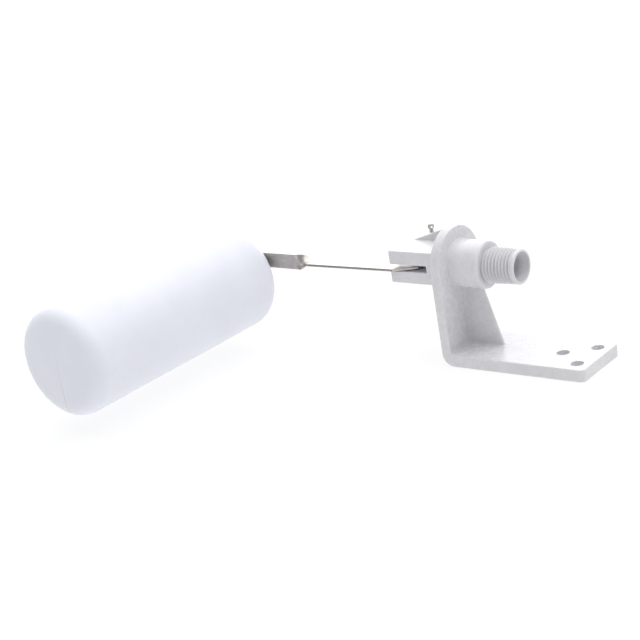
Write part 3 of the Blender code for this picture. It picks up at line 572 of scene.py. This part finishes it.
BRASS = machined("brass", (0.78, 0.60, 0.30), 0.26, 1900, "X", (0, 0, AXIS_Z))
RUBBER = rubber()
for piece, finish, node, slot in ((orifice_seat(), BRASS, "orifice_seat", "brass"),
                                  (seat_ring(), RUBBER, "seat_o_ring", "rubber")):
    piece.data.materials.append(finish)
    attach(piece, "valve_body")
    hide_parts(node)


# ---------------------------------------------------------------- plunger and its seal
# Fluted plunger, moulded in natural acetal, that slides in the chamber. The flutes let the water past it, the
# rubber disc in its face shuts on the seat's lip, and the arm's heel pushes on its tail.

plunger_low, plunger_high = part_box("plunger")
seal_low, seal_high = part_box("plunger_seal")
PLUNGER_GAP = 0.0003                            # round the plunger, and round the seal in its pocket
PLUNGER_R = CHAMBER_R - PLUNGER_GAP
PLUNGER_LENGTH = 0.0080
PLUNGER_EDGE = 0.0003
TAIL_R = 0.0016
SEAL_R = 0.0022
SEAL_EDGE = 0.00015
DENT_DEPTH = 0.00006
DENT_WIDTH = 0.0002
FLUTE_R = 0.0013
FLUTE_COUNT = 4


def fluted(radius, angle, along):
    """Radius cut back by round grooves: each is a circle about a centre just outside the plunger, and the cut
    is that circle's near side as seen from the axis."""
    centre = PLUNGER_R + FLUTE_R / 3
    turn = (angle * FLUTE_COUNT / (2 * np.pi) % 1 - 0.5) * 2 * np.pi / FLUTE_COUNT
    inside = FLUTE_R ** 2 - (centre * np.sin(turn)) ** 2
    cut = centre * np.cos(turn) - np.sqrt(np.maximum(inside, 0))
    return np.minimum(radius, np.where(inside > 0, cut, PLUNGER_R))


def plunger():
    """Turned profile with the seal's pocket in its face and a tail behind, cut by the flutes."""
    back = plunger_high.x - PLUNGER_LENGTH
    pocket, pocket_r = seal_low.x - PLUNGER_GAP, SEAL_R + PLUNGER_GAP
    profile = [(0, pocket), (pocket_r, pocket), (pocket_r, plunger_high.x), (PLUNGER_R, plunger_high.x),
               (PLUNGER_R, back), (TAIL_R, back), (TAIL_R, plunger_low.x), (0, plunger_low.x)]
    profile = sampled(eased(profile, PLUNGER_EDGE), 0.0005)
    return turned("fluted_plunger", profile, "X", (0, 0, AXIS_Z), columns=160, reach=fluted)


def plunger_disc():
    """Disc with the faint round dent that the seat's lip has left in its face: a bell curve about the lip."""
    radius = np.linspace(0, SEAL_R - SEAL_EDGE, 40)
    dent = DENT_DEPTH * np.exp(-((radius - (SEAT_LIP_R + ORIFICE_R) / 2) / DENT_WIDTH) ** 2)
    face = np.stack([radius, seal_high.x - dent], axis=1)
    back = [(SEAL_R, seal_high.x - SEAL_EDGE), (SEAL_R, seal_low.x), (0, seal_low.x)]
    return turned("seal_disc", np.concatenate([face, back]), "X", (0, 0, AXIS_Z))


def natural_acetal():
    """Unpigmented acetal: milky, slightly warm, a little glossier than the body."""
    finish, tree, shader, place = new_finish("plunger_plastic", ior=1.48, subsurface_weight=0.25,
                                             subsurface_scale=0.0015)
    clouds = noise(tree, place, 500, 3.0, 0.6)
    colour = blended(tree, ranged(tree, clouds, 0, 1), (0.74, 0.74, 0.69, 1), (0.80, 0.80, 0.76, 1))
    tree.links.new(colour, shader.inputs["Base Color"])
    tree.links.new(ranged(tree, clouds, 0.34, 0.46), shader.inputs["Roughness"])
    tree.links.new(bumped(tree, noise(tree, place, 4200, 2.0), 0.000015), shader.inputs["Normal"])
    return finish


PLUNGER_PLASTIC = natural_acetal()
for piece, finish, node, slot in ((plunger(), PLUNGER_PLASTIC, "plunger", "plunger_plastic"),
                                  (plunger_disc(), RUBBER, "plunger_seal", "rubber")):
    piece.data.materials.append(finish)
    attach(piece, "plunger")
    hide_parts(node)


# ---------------------------------------------------------------- float arm
# One pressing in quarter-inch stainless strip. Its lever end turns in through the clevis's slot to the pivot,
# with a round heel that pushes the plunger, and a quarter twist brings its other end flat to the float.

arm_low, arm_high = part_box("float_arm")
STRIP_WIDTH = 0.00635
STRIP_THICKNESS = 0.0010
STRIP_Y = arm_low.y + STRIP_WIDTH / 2
STRIP_NEAR, STRIP_FAR = arm_low.y, arm_low.y + STRIP_WIDTH
STRIP_EDGE_R = 0.00022
STRIP_CORNER_R = 0.0012
ARM_Z = PIVOT.z
LEVER_END = CLEVIS_END - 0.0015
TWIST_START = PLATE_FRONT - 0.0663
TWIST_END = TWIST_START - 0.0070
STRIP_FALL = 0.0006                             # from the lever down to the upright end
TAB_Z = ARM_Z - STRIP_FALL
FLOAT_SCREW_BOXES = [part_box(f"{side}_float_screw") for side in ("outer", "inner")]
FLOAT_SCREW_X = [(low.x + high.x) / 2 for low, high in FLOAT_SCREW_BOXES]
FLOAT_SCREW_HOLE_R = 0.0019
HEEL = (-0.0611, 0.0)
HEEL_R = 0.0020
LEVER_BEND = (CLEVIS_END + 0.0019, STRIP_NEAR)
LEVER_KNEE = (LEVER_BEND[0] + 0.0093, LEVER_BEND[1] + 0.0047)
LEVER_BOSS_R = 0.0028
LEVER_CORNER = (CLEVIS_END + 0.0031, STRIP_FAR + 0.0030)
LEVER_CORNER_R = 0.0030
ARM_STEP = 0.00022                              # size of the skin's faces


def arc(centre, radius, start, end, count=14):
    """Points on an arc from one angle in degrees to another."""
    angle = np.radians(np.linspace(start, end, count))
    return np.stack([centre[0] + radius * np.cos(angle), centre[1] + radius * np.sin(angle)], axis=1)


def lever_outline():
    """Plan of the lever, anticlockwise: strip, bend, knee, heel's nose, pivot boss, straight back edge and
    corner. The back edge touches the boss where a line from the corner leaves the boss's circle."""
    reach = np.array([PIVOT.x, PIVOT.y]) - LEVER_CORNER
    lean = np.arctan2(reach[1], reach[0]) + np.arcsin(LEVER_BOSS_R / np.hypot(*reach))
    nose = arc(HEEL, HEEL_R, -25, 40)
    boss = arc((PIVOT.x, PIVOT.y), LEVER_BOSS_R, -10, np.degrees(lean) + 90, 30)
    corner = arc((LEVER_CORNER[0] - LEVER_CORNER_R, LEVER_CORNER[1]), LEVER_CORNER_R, 0, -90)
    start = [(LEVER_END, STRIP_NEAR), LEVER_BEND, LEVER_KNEE]
    return np.concatenate([start, nose, boss, corner, [(LEVER_END, STRIP_FAR)]])


def outline_distance(x, y, outline):
    """Distance to a closed outline, below zero inside it: the least of the distances to its edges, with its
    sign from how many edges a line towards +X crosses."""
    nearest, inside = np.inf, False
    for (ax, ay), (bx, by) in zip(outline, np.roll(outline, -1, axis=0)):
        ex, ey = bx - ax, by - ay
        share = np.clip(((x - ax) * ex + (y - ay) * ey) / (ex * ex + ey * ey), 0, 1)
        nearest = np.minimum(nearest, np.hypot(x - ax - share * ex, y - ay - share * ey))
        if ey:
            inside = inside ^ (((ay > y) != (by > y)) & (x < ax + ex * (y - ay) / ey))
    return np.where(inside, -nearest, nearest)


LEVER_OUTLINE = lever_outline()


def arm_field(x, y, z):
    """Strip whose middle line falls straight from the lever to the twist's end, and whose section turns a
    quarter about that line over the twist, joined to the flat lever, less the holes for the pivot and the
    float's screws."""
    fallen = STRIP_FALL * np.clip((LEVER_END - x) / (LEVER_END - TWIST_END), 0, 1)
    across, rise = y - STRIP_Y, z - ARM_Z + fallen
    share = np.clip((TWIST_START - x) / (TWIST_START - TWIST_END), 0, 1)
    turn = np.pi / 2 * share
    flat = across * np.cos(turn) + rise * np.sin(turn)
    face = rise * np.cos(turn) - across * np.sin(turn)
    plan = both(span(x, arm_low.x, CLEVIS_END), np.abs(flat) - STRIP_WIDTH / 2, STRIP_CORNER_R)
    strip = both(plan, np.abs(face) - STRIP_THICKNESS / 2, STRIP_EDGE_R)
    lever = both(outline_distance(x, y, LEVER_OUTLINE), np.abs(rise) - STRIP_THICKNESS / 2, STRIP_EDGE_R)
    holes = np.hypot(x - PIVOT.x, y - PIVOT.y) - PIN_HOLE_R
    for screw_x in FLOAT_SCREW_X:
        holes = either(holes, np.hypot(x - screw_x, rise) - FLOAT_SCREW_HOLE_R)
    return both(either(strip, lever), -holes, STRIP_EDGE_R)


def rolled_stainless(name, stretch, shaded_edge_y=None):
    """Stainless as it comes from the mill: fine rolled streaks one way, a few cross scratches and finger
    dulling. The optional last argument is the Y of the near cut edge, where painted shade darkens the colour."""
    finish, tree, shader, place = new_finish(name, metallic=1.0)
    streaked = add_node(tree, "ShaderNodeMapping", {"Vector": place, "Scale": stretch}).outputs[0]
    streaks = noise(tree, streaked, 2600, 4.0, 0.65)
    clouds = noise(tree, place, 240, 3.0, 0.6)
    colour = blended(tree, ranged(tree, streaks, 0, 1), (0.510, 0.487, 0.462, 1), (0.650, 0.632, 0.608, 1))
    colour = blended(tree, ranged(tree, clouds, 0, 0.55), colour, (0.38, 0.34, 0.315, 1))
    # painted shade: the near edge face of the strip is darkened by its Y
    if shaded_edge_y is not None:
        edge = ranged(tree, parted(tree, place)["Y"], 0.8, 0, shaded_edge_y + 0.00010, shaded_edge_y + 0.00018)
        colour = blended(tree, edge, colour, (0.26, 0.24, 0.23, 1))
    tree.links.new(colour, shader.inputs["Base Color"])
    tree.links.new(ranged(tree, streaks, 0.24, 0.40), shader.inputs["Roughness"])
    turn = {"Vector": place, "Rotation": (0.3, 0.5, 0.9), "Scale": (1.0, 0.04, 1.0)}
    crossed = add_node(tree, "ShaderNodeMapping", turn).outputs[0]
    scratches = ranged(tree, noise(tree, crossed, 1800, 2.0), 1, 0, 0.70, 0.76)
    scratched = bumped(tree, scratches, 0.000008, 0.8)
    tree.links.new(bumped(tree, streaks, 0.00001, 0.7, scratched), shader.inputs["Normal"])
    return finish


# the strip's near edge gets painted shade in its colour
STRIP_STEEL = rolled_stainless("stainless", (0.04, 1.0, 1.0), STRIP_NEAR)
strip_arm = skin("strip_arm", arm_field, arm_low, arm_high, ARM_STEP)
strip_arm.data.materials.append(STRIP_STEEL)
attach(strip_arm, "float_arm")
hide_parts("float_arm")


# ---------------------------------------------------------------- split pin and arm washer
# The pin is half-round stainless wire folded on itself: an eye over the clevis, two halves that make one
# round shank, and two legs turned out below. The arm lies low in its slot, with a washer over it.

pin_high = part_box("pivot_cotter_pin")[1]
WIRE_R = 0.0008                                 # of the half-round section
EYE_INNER_R = 0.0005
EYE_Z = pin_high.z - EYE_INNER_R - WIRE_R
EYE_TURN = np.radians(-35)
HALF_GAP = 0.00003
NECK_R = 0.0012
ELBOW_R = 0.0012
ELBOW_Z = AXIS_Z + CLEVIS_HEIGHTS[0] - 0.0011
LEG_LENGTH = 0.0022
LEG_ANGLE = 74


def half_path():
    """One half of the pin's flat face in its own plane, out and up from the leg's tip to the top of the eye,
    and the direction out of the flat face: straight, elbow arc, straight shank, neck arc, then a quarter or
    more of the eye. The neck's arc touches both the shank's line and the eye's circle."""
    elbow = arc((HALF_GAP + ELBOW_R, ELBOW_Z), ELBOW_R, 180 + LEG_ANGLE, 180, 12)
    leg = np.radians(180 + LEG_ANGLE)
    tip = elbow[0] + LEG_LENGTH * np.array([-np.sin(leg), np.cos(leg)])
    neck_x = HALF_GAP + NECK_R
    neck_z = EYE_Z - np.sqrt((EYE_INNER_R + NECK_R) ** 2 - neck_x ** 2)
    meet = np.degrees(np.arctan2(EYE_Z - neck_z, -neck_x))
    neck = arc((neck_x, neck_z), NECK_R, 180, meet, 10)
    eye = arc((0, EYE_Z), EYE_INNER_R, meet - 180, 90, 26)
    shank = np.stack([np.full(8, HALF_GAP), np.linspace(ELBOW_Z, neck_z, 10)[1:-1]], axis=1)
    place = np.concatenate([tip[None], elbow, shank, neck, eye[1:]])
    along = np.gradient(place, axis=0)
    along /= np.linalg.norm(along, axis=1, keepdims=True)
    return place, np.stack([along[:, 1], -along[:, 0]], axis=1)


def capped(points):
    """Grid of sections with its ends closed: each end gains a row that lies at its last section's middle."""
    ends = [np.broadcast_to(row.mean(axis=0), row.shape)[None] for row in (points[0], points[-1])]
    return np.concatenate([ends[0], points, ends[1]])


def split_pin():
    """Half-round section carried along both halves of the path, flat side in, and turned about the pivot so
    that the eye stands askew."""
    place, out = half_path()
    mirror = np.array([-1, 1])
    place = np.concatenate([place, place[-2::-1] * mirror])
    out = np.concatenate([out, out[-2::-1] * mirror])
    round_side = np.radians(np.linspace(-90, 90, 17))
    off_flat = np.concatenate([WIRE_R * np.cos(round_side), np.zeros(5)])
    aside = np.concatenate([WIRE_R * np.sin(round_side), WIRE_R * np.linspace(1, -1, 7)[1:-1]])
    level = place[:, None, 0] + off_flat * out[:, None, 0]
    z = place[:, None, 1] + off_flat * out[:, None, 1]
    aside = np.broadcast_to(aside, level.shape)
    sin, cos = np.sin(EYE_TURN), np.cos(EYE_TURN)
    points = np.stack([PIVOT.x - level * sin + aside * cos, PIVOT.y + level * cos + aside * sin, z], axis=2)
    return closed_grid("split_pin", capped(points))


def flat_washer(node, name):
    """Oblong section turned about the pin."""
    low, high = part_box(node)
    outer = (high.x - low.x) / 2
    profile = [(PIN_HOLE_R, high.z), (outer, high.z), (outer, low.z), (PIN_HOLE_R, low.z)]
    return turned(name, eased(profile, CHAMFER, closed=True), "Z", (PIVOT.x, PIVOT.y, 0), ring=True)


WIRE_STEEL = rolled_stainless("stainless_wire", (1.0, 1.0, 0.06))
PRESSED_STEEL = rolled_stainless("stainless_pressed", (0.3, 0.3, 1.0))
for piece, finish, node in ((split_pin(), WIRE_STEEL, "pivot_cotter_pin"),
                            (flat_washer("arm_washer", "arm_spacer"), PRESSED_STEEL, "arm_washer")):
    piece.data.materials.append(finish)
    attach(piece, "valve_body")
    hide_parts(node)


# ---------------------------------------------------------------- float
# Blow-moulded drum in cool white polyethylene. Its wall is a little uneven, as a blown wall is, its ends are
# rounded, and the two halves of the mould leave a fine raised seam in the upright plane through its axis.

shell_low, shell_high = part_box("float_shell")
FLOAT_X = (shell_low.x + shell_high.x) / 2
FLOAT_Z = (shell_low.z + shell_high.z) / 2
FLOAT_R = (shell_high.x - shell_low.x) / 2 - 0.00002
FLOAT_NEAR, FLOAT_FAR = shell_low.y, shell_high.y
FLOAT_EDGE_R = 0.0064
WALL_WAVE = 0.00010
SEAM_HEIGHT = 0.00012
SEAM_HALF_WIDTH = 0.00035
SEAM_FADE = 0.008                               # rise over which the seam fades
FLOAT_WALL = 0.0015
FILL_HOLE_R = 0.0025
SCREW_HOLE_R = 0.0016                           # inside the bosses
BOSS_R = 0.0039
BOSS_LENGTH = 0.0115
BOSS_EDGE = 0.0004
PLUG_SEAT = 0.0003                              # the plug's head stands this far off the far end
PLUG_DOME = 0.00022
PLUG_RIM = 0.00035
RIB_HEIGHT = 0.00015
RIB_PITCH = 0.0007


def drum_profile(radius, edge_r, near, far, hole_r, rows):
    """Half of the drum's outline, from the axis at the near end to a hole in the far end: radius and place,
    with quarter-round ends and the given number of rows along its side."""
    edge = np.linspace(0, np.pi / 2, 24)
    inner = radius - edge_r
    near_flat, far_flat = np.linspace(0, inner, 20)[:-1], np.linspace(inner, hole_r, 18)[1:]
    side = np.linspace(near + edge_r, far - edge_r, rows)[1:-1]
    arcs = inner + edge_r * np.sin(edge), edge_r * (1 - np.cos(edge))
    reach = np.concatenate([near_flat, arcs[0], np.full(side.shape, radius), arcs[0][::-1], far_flat])
    along = np.concatenate([np.full(near_flat.shape, near), near + arcs[1], side, far - arcs[1][::-1],
                            np.full(far_flat.shape, far)])
    return np.stack([reach, along], axis=1)


def drum():
    """Outer skin from the near end's middle to the filling hole, then back inside to the near end. The outer
    skin gives up a little to slow waves, which are sines of the angle and the place along, and gains the
    seam's ridge, a bell curve about the upright plane, mostly on its lower half."""
    outer = drum_profile(FLOAT_R, FLOAT_EDGE_R, FLOAT_NEAR, FLOAT_FAR, FILL_HOLE_R, 120)
    inner = drum_profile(FLOAT_R - FLOAT_WALL, FLOAT_EDGE_R - FLOAT_WALL, FLOAT_NEAR + FLOAT_WALL,
                         FLOAT_FAR - FLOAT_WALL, FILL_HOLE_R, 8)
    radius, along = np.concatenate([outer, inner[::-1]]).T[:, :, None]
    outside = (np.arange(len(radius)) < len(outer))[:, None]
    angle = np.linspace(0, 2 * np.pi, 320, endpoint=False)[None]
    side, rise = radius * np.sin(angle), radius * np.cos(angle)
    wave = 0.5 + 0.25 * np.sin(3 * angle + 40 * along) + 0.25 * np.sin(2 * angle - 95 * along + 1.3)
    ridge = SEAM_HEIGHT * np.exp(-(side / SEAM_HALF_WIDTH) ** 2) * np.clip(0.5 - rise / SEAM_FADE, 0.15, 1)
    inward = (WALL_WAVE * wave * (radius / FLOAT_R) ** 2 + SEAM_HEIGHT - ridge) * outside
    outward_r = np.clip((radius - FLOAT_R + FLOAT_EDGE_R) / FLOAT_EDGE_R, 0, 1)
    middle = (FLOAT_NEAR + FLOAT_FAR) / 2
    outward_y = np.sqrt(1 - outward_r ** 2) * np.where(along < middle, -1, 1)
    x = FLOAT_X + side - inward * outward_r * np.sin(angle)
    y = along - inward * outward_y
    z = FLOAT_Z + rise - inward * outward_r * np.cos(angle)
    return closed_grid("float_drum", np.stack([x, np.broadcast_to(y, x.shape), z], axis=2))


def screw_boss(name, x):
    """Thick tube inside the shell's far end that a float screw bites into."""
    far = FLOAT_FAR - FLOAT_WALL
    near = FLOAT_FAR - BOSS_LENGTH
    profile = [(SCREW_HOLE_R, far), (BOSS_R, far), (BOSS_R, near), (SCREW_HOLE_R, near)]
    return turned(name, eased(profile, BOSS_EDGE, closed=True), "Y", (x, 0, TAB_Z), columns=64, ring=True)


def fill_plug():
    """Mushroom plug pressed into the filling hole: the head's dome is a parabola, and the stem's ribs are a
    cosine of the place along it."""
    low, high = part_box("float_plug")
    head_r = (high.x - low.x) / 2
    seat = FLOAT_FAR + PLUG_SEAT
    dome = np.linspace(0, 1, 12)
    head = np.stack([head_r * 0.86 * dome, high.y - PLUG_DOME * dome ** 2], axis=1)
    stem = np.linspace(seat - PLUG_SEAT, low.y + 0.0008, 40)
    ribs = FILL_HOLE_R - 3 * RIB_HEIGHT + RIB_HEIGHT * np.cos((stem - seat) / RIB_PITCH * 2 * np.pi)
    rim = eased([head[-1], (head_r, high.y - PLUG_RIM), (head_r, seat), (ribs[0], seat)], 0.00015)
    tip = [(FILL_HOLE_R / 2, low.y), (0, low.y)]
    profile = np.concatenate([head, rim[1:], np.stack([ribs, stem], axis=1), tip])
    return turned("fill_plug", profile, "Y", (FLOAT_X, 0, FLOAT_Z))


def float_plastic():
    """Matte blown polyethylene: cool white, slightly see-through to light, softly dimpled, with a fine matte
    grain, a few pale scuffs and a grey weld line down the lower half of the near end."""
    finish, tree, shader, place = new_finish("float_plastic", ior=1.5, subsurface_weight=0.35,
                                             subsurface_scale=0.004, specular_ior_level=0.35)
    shader.inputs["Subsurface Radius"].default_value = (0.9, 0.95, 1.0)
    clouds = noise(tree, place, 55, 4.0, 0.6)
    colour = blended(tree, ranged(tree, clouds, 0, 1), (0.820, 0.842, 0.950, 1), (0.860, 0.880, 0.980, 1))
    stretched = add_node(tree, "ShaderNodeMapping", {"Vector": place, "Scale": (1.0, 0.12, 1.0)}).outputs[0]
    scuffs = ranged(tree, noise(tree, stretched, 900, 3.0, 0.7), 0, 0.22, 0.64, 0.78)
    colour = blended(tree, scuffs, colour, (0.70, 0.71, 0.76, 1))
    apart = parted(tree, place)
    weld = ranged(tree, distance_from(tree, apart["X"], FLOAT_X), 0.40, 0, 0.00010, 0.00040)
    end = ranged(tree, apart["Y"], 1, 0, FLOAT_NEAR + 0.001, FLOAT_NEAR + FLOAT_EDGE_R)
    low = ranged(tree, apart["Z"], 1, 0.12, FLOAT_Z - 0.004, FLOAT_Z + 0.003)
    weld = worked_out(tree, "MULTIPLY", worked_out(tree, "MULTIPLY", weld, end), low)
    colour = blended(tree, weld, colour, (0.52, 0.51, 0.56, 1))
    tree.links.new(colour, shader.inputs["Base Color"])
    tree.links.new(ranged(tree, noise(tree, place, 260, 3.0), 0.44, 0.60), shader.inputs["Roughness"])
    grain = bumped(tree, noise(tree, place, 3600, 2.0), 0.00003)
    tree.links.new(bumped(tree, noise(tree, place, 210, 1.5), 0.00016, 0.6, grain), shader.inputs["Normal"])
    return finish


FLOAT_PLASTIC = float_plastic()
for piece, node in ((drum(), "float_shell"), (screw_boss("outer_boss", FLOAT_SCREW_X[0]), "float_shell"),
                    (screw_boss("inner_boss", FLOAT_SCREW_X[1]), "float_shell"), (fill_plug(), "float_plug")):
    piece.data.materials.append(FLOAT_PLASTIC)
    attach(piece, "float_arm")
    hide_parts(node)


# ---------------------------------------------------------------- float screws and lock washers
# Two square-drive pan-head screws in stainless hold the strip to the float's bosses, each over a split lock
# washer, whose cut ends stand a little apart.

SCREW_HEAD = 0.0018
SCREW_HEAD_R = 0.0029
SCREW_CROWN = 0.0009                            # height of the head's rounded edge
SCREW_NECK = 0.0007                             # plain shank under the head
SCREW_EDGE = 0.0001
SCREW_R = 0.0016
SCREW_PITCH = 0.0009
SCREW_THREAD_DEPTH = 0.00035
DRIVE_HALF_WIDTH = 0.00085
DRIVE_DEPTH = 0.0008
SPLIT_ANGLE = 9
SPLIT_RISE = 0.00015


def pan_screw(name, node, x):
    """Screw about Y: a profile whose first rows are square, where the radius is the half width over
    (|cos|^10 + |sin|^10)^(1/10), and the rest round. The shank's radius falls by the thread's V-shaped
    groove, whose phase is worked out as on the nipple."""
    low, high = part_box(node)
    top, seat = high.y, high.y - SCREW_HEAD
    drive = [(0, top - DRIVE_DEPTH), (DRIVE_HALF_WIDTH * 0.96, top - DRIVE_DEPTH),
             (DRIVE_HALF_WIDTH, top - SCREW_EDGE), (DRIVE_HALF_WIDTH * 1.1, top)]
    turn = np.radians(np.linspace(90, 0, 12))
    crown_r = SCREW_HEAD_R * (0.62 + 0.38 * np.cos(turn))
    crown = np.stack([crown_r, top - SCREW_CROWN * (1 - np.sin(turn))], axis=1)
    head = [(SCREW_HEAD_R, seat + SCREW_EDGE), (SCREW_HEAD_R - SCREW_EDGE, seat), (SCREW_R, seat)]
    shank = sampled([(SCREW_R, seat), (SCREW_R, low.y + SCREW_R)], 0.00009)
    tip = sampled([(SCREW_R, low.y + SCREW_R), (SCREW_R * 0.2, low.y)], 0.00009)
    profile = np.concatenate([drive, crown, head, shank[1:], tip[1:], [(0, low.y)]])
    square = (np.arange(len(profile)) < len(drive))[:, None]
    thread_start = seat - SCREW_NECK

    def shaped(radius, angle, along):
        corner = (np.abs(np.cos(angle)) ** 10 + np.abs(np.sin(angle)) ** 10) ** 0.1
        flank = np.abs(2 * ((along / SCREW_PITCH - angle / (2 * np.pi)) % 1) - 1)
        run = np.clip((thread_start - along) / 0.0006, 0, 1)
        thread = SCREW_THREAD_DEPTH * np.maximum(flank - 0.1, 0) * run
        return np.where(square, radius / corner, np.maximum(radius - thread * (radius > 0), 0))

    return turned(name, profile, "Y", (x, 0, TAB_Z), columns=96, reach=shaped)


def lock_washer(name, node, x):
    """Rounded square section carried once round, less the split, while it rises by the split's step."""
    low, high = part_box(node)
    outer, inner = (high.x - low.x) / 2, FLOAT_SCREW_HOLE_R
    half_height = (high.y - low.y - SPLIT_RISE) / 2
    corners = [(inner, -half_height), (inner, half_height), (outer, half_height), (outer, -half_height)]
    section = eased(corners, CHAMFER, closed=True)
    angle = np.radians(np.linspace(SPLIT_ANGLE / 2, 360 - SPLIT_ANGLE / 2, 90))[:, None]
    rise = (angle / (2 * np.pi) - 0.5) * SPLIT_RISE + (low.y + high.y) / 2
    radius, along = section.T
    ring = np.stack([x + radius * np.sin(angle), along + rise, TAB_Z + radius * np.cos(angle)], axis=2)
    return closed_grid(name, capped(ring))


for side, screw_x in zip(("outer", "inner"), FLOAT_SCREW_X):
    steel = machined(f"{side}_screw_steel", (0.60, 0.585, 0.565), 0.30, 1400, "Y", (screw_x, 0, TAB_Z))
    screw = pan_screw(f"{side}_pan_screw", f"{side}_float_screw", screw_x)
    washer = lock_washer(f"{side}_lock_washer", f"{side}_float_washer", screw_x)
    for piece, finish, node in ((screw, steel, f"{side}_float_screw"),
                                (washer, PRESSED_STEEL, f"{side}_float_washer")):
        piece.data.materials.append(finish)
        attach(piece, "float_arm")
        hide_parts(node)


# ---------------------------------------------------------------- studio
# A pale seamless floor, one broad soft lamp overhead, an even dim surround, and a lit white screen behind the
# valve that shows in its shiny faces.

FLOOR_SIZE = 12.0
CAMERA_PLACE = Vector((0.24715, -0.42207, 0.19877))
CAMERA_AIM = Vector((-0.06451, -0.06600, 0.03727))
CAMERA_ROLL = np.radians(-9.62)
CAMERA_LENS = 79.05                             # on a 36 mm wide sensor
SCREEN_SIDE = (-0.66, 0.75, 0.0)                # the way from the valve to the screen


def pale_floor():
    """One square at the foot's height, which glows nearly white itself, so that shadows on it are faint."""
    mesh = bpy.data.meshes.new("floor")
    half = FLOOR_SIZE / 2
    corners = [(-half, -half, 0), (half, -half, 0), (half, half, 0), (-half, half, 0)]
    mesh.from_pydata(corners, [], [(0, 1, 2, 3)])
    floor = bpy.data.objects.new("floor", mesh)
    bpy.context.scene.collection.objects.link(floor)
    finish = bpy.data.materials.new("pale_floor")
    finish.use_nodes = True
    shader = finish.node_tree.nodes["Principled BSDF"]
    shader.inputs["Base Color"].default_value = (0.20, 0.20, 0.20, 1)
    shader.inputs["Roughness"].default_value = 0.9
    shader.inputs["Specular IOR Level"].default_value = 0.0
    shader.inputs["Emission Color"].default_value = (1, 1, 1, 1)
    shader.inputs["Emission Strength"].default_value = 0.81
    mesh.materials.append(finish)


def soft_lamp(name, strength, width, toward):
    """Sun lamp with a wide disc, so that its shadows are soft; toward is where it shines from."""
    lamp = bpy.data.lights.new(name, "SUN")
    lamp.energy = strength
    lamp.angle = np.radians(width)
    item = bpy.data.objects.new(name, lamp)
    item.rotation_euler = Vector(toward).to_track_quat("Z", "Y").to_euler()
    bpy.context.scene.collection.objects.link(item)


def surround():
    """Dim all round, and bright over the screen. Mirrored rays see the screen at its full strength, and the
    light it gives matte faces is weaker."""
    world = bpy.data.worlds.new("studio")
    world.use_nodes = True
    tree = world.node_tree
    background = tree.nodes["Background"]
    background.inputs["Color"].default_value = (0.97, 0.98, 1.0, 1)
    place = add_node(tree, "ShaderNodeTexCoord").outputs["Generated"]
    facing = add_node(tree, "ShaderNodeVectorMath", {0: place, 1: SCREEN_SIDE}, operation="DOT_PRODUCT")
    screen = ranged(tree, facing.outputs["Value"], 0, 1, 0.35, 0.80)
    mirrored = add_node(tree, "ShaderNodeLightPath").outputs["Is Glossy Ray"]
    strength = ranged(tree, mirrored, 0.10, 1.90, 0, 1)
    glow = add_node(tree, "ShaderNodeMath", {0: screen, 1: strength, 2: 0.48}, operation="MULTIPLY_ADD")
    tree.links.new(glow.outputs[0], background.inputs["Strength"])
    bpy.context.scene.world = world


def camera():
    """Camera at its place, aimed and then rolled about its own line of sight."""
    lens = bpy.data.cameras.new("camera")
    lens.lens = CAMERA_LENS
    lens.clip_start = 0.01
    item = bpy.data.objects.new("camera", lens)
    facing = (CAMERA_AIM - CAMERA_PLACE).to_track_quat("-Z", "Y").to_matrix().to_4x4()
    item.matrix_world = Matrix.Translation(CAMERA_PLACE) @ facing @ Matrix.Rotation(CAMERA_ROLL, 4, "Z")
    bpy.context.scene.collection.objects.link(item)
    bpy.context.scene.camera = item


pale_floor()
soft_lamp("overhead", 2.3, 88, (0.10, 0.22, 1.0))
surround()
camera()
bpy.context.scene.view_settings.view_transform = "Standard"
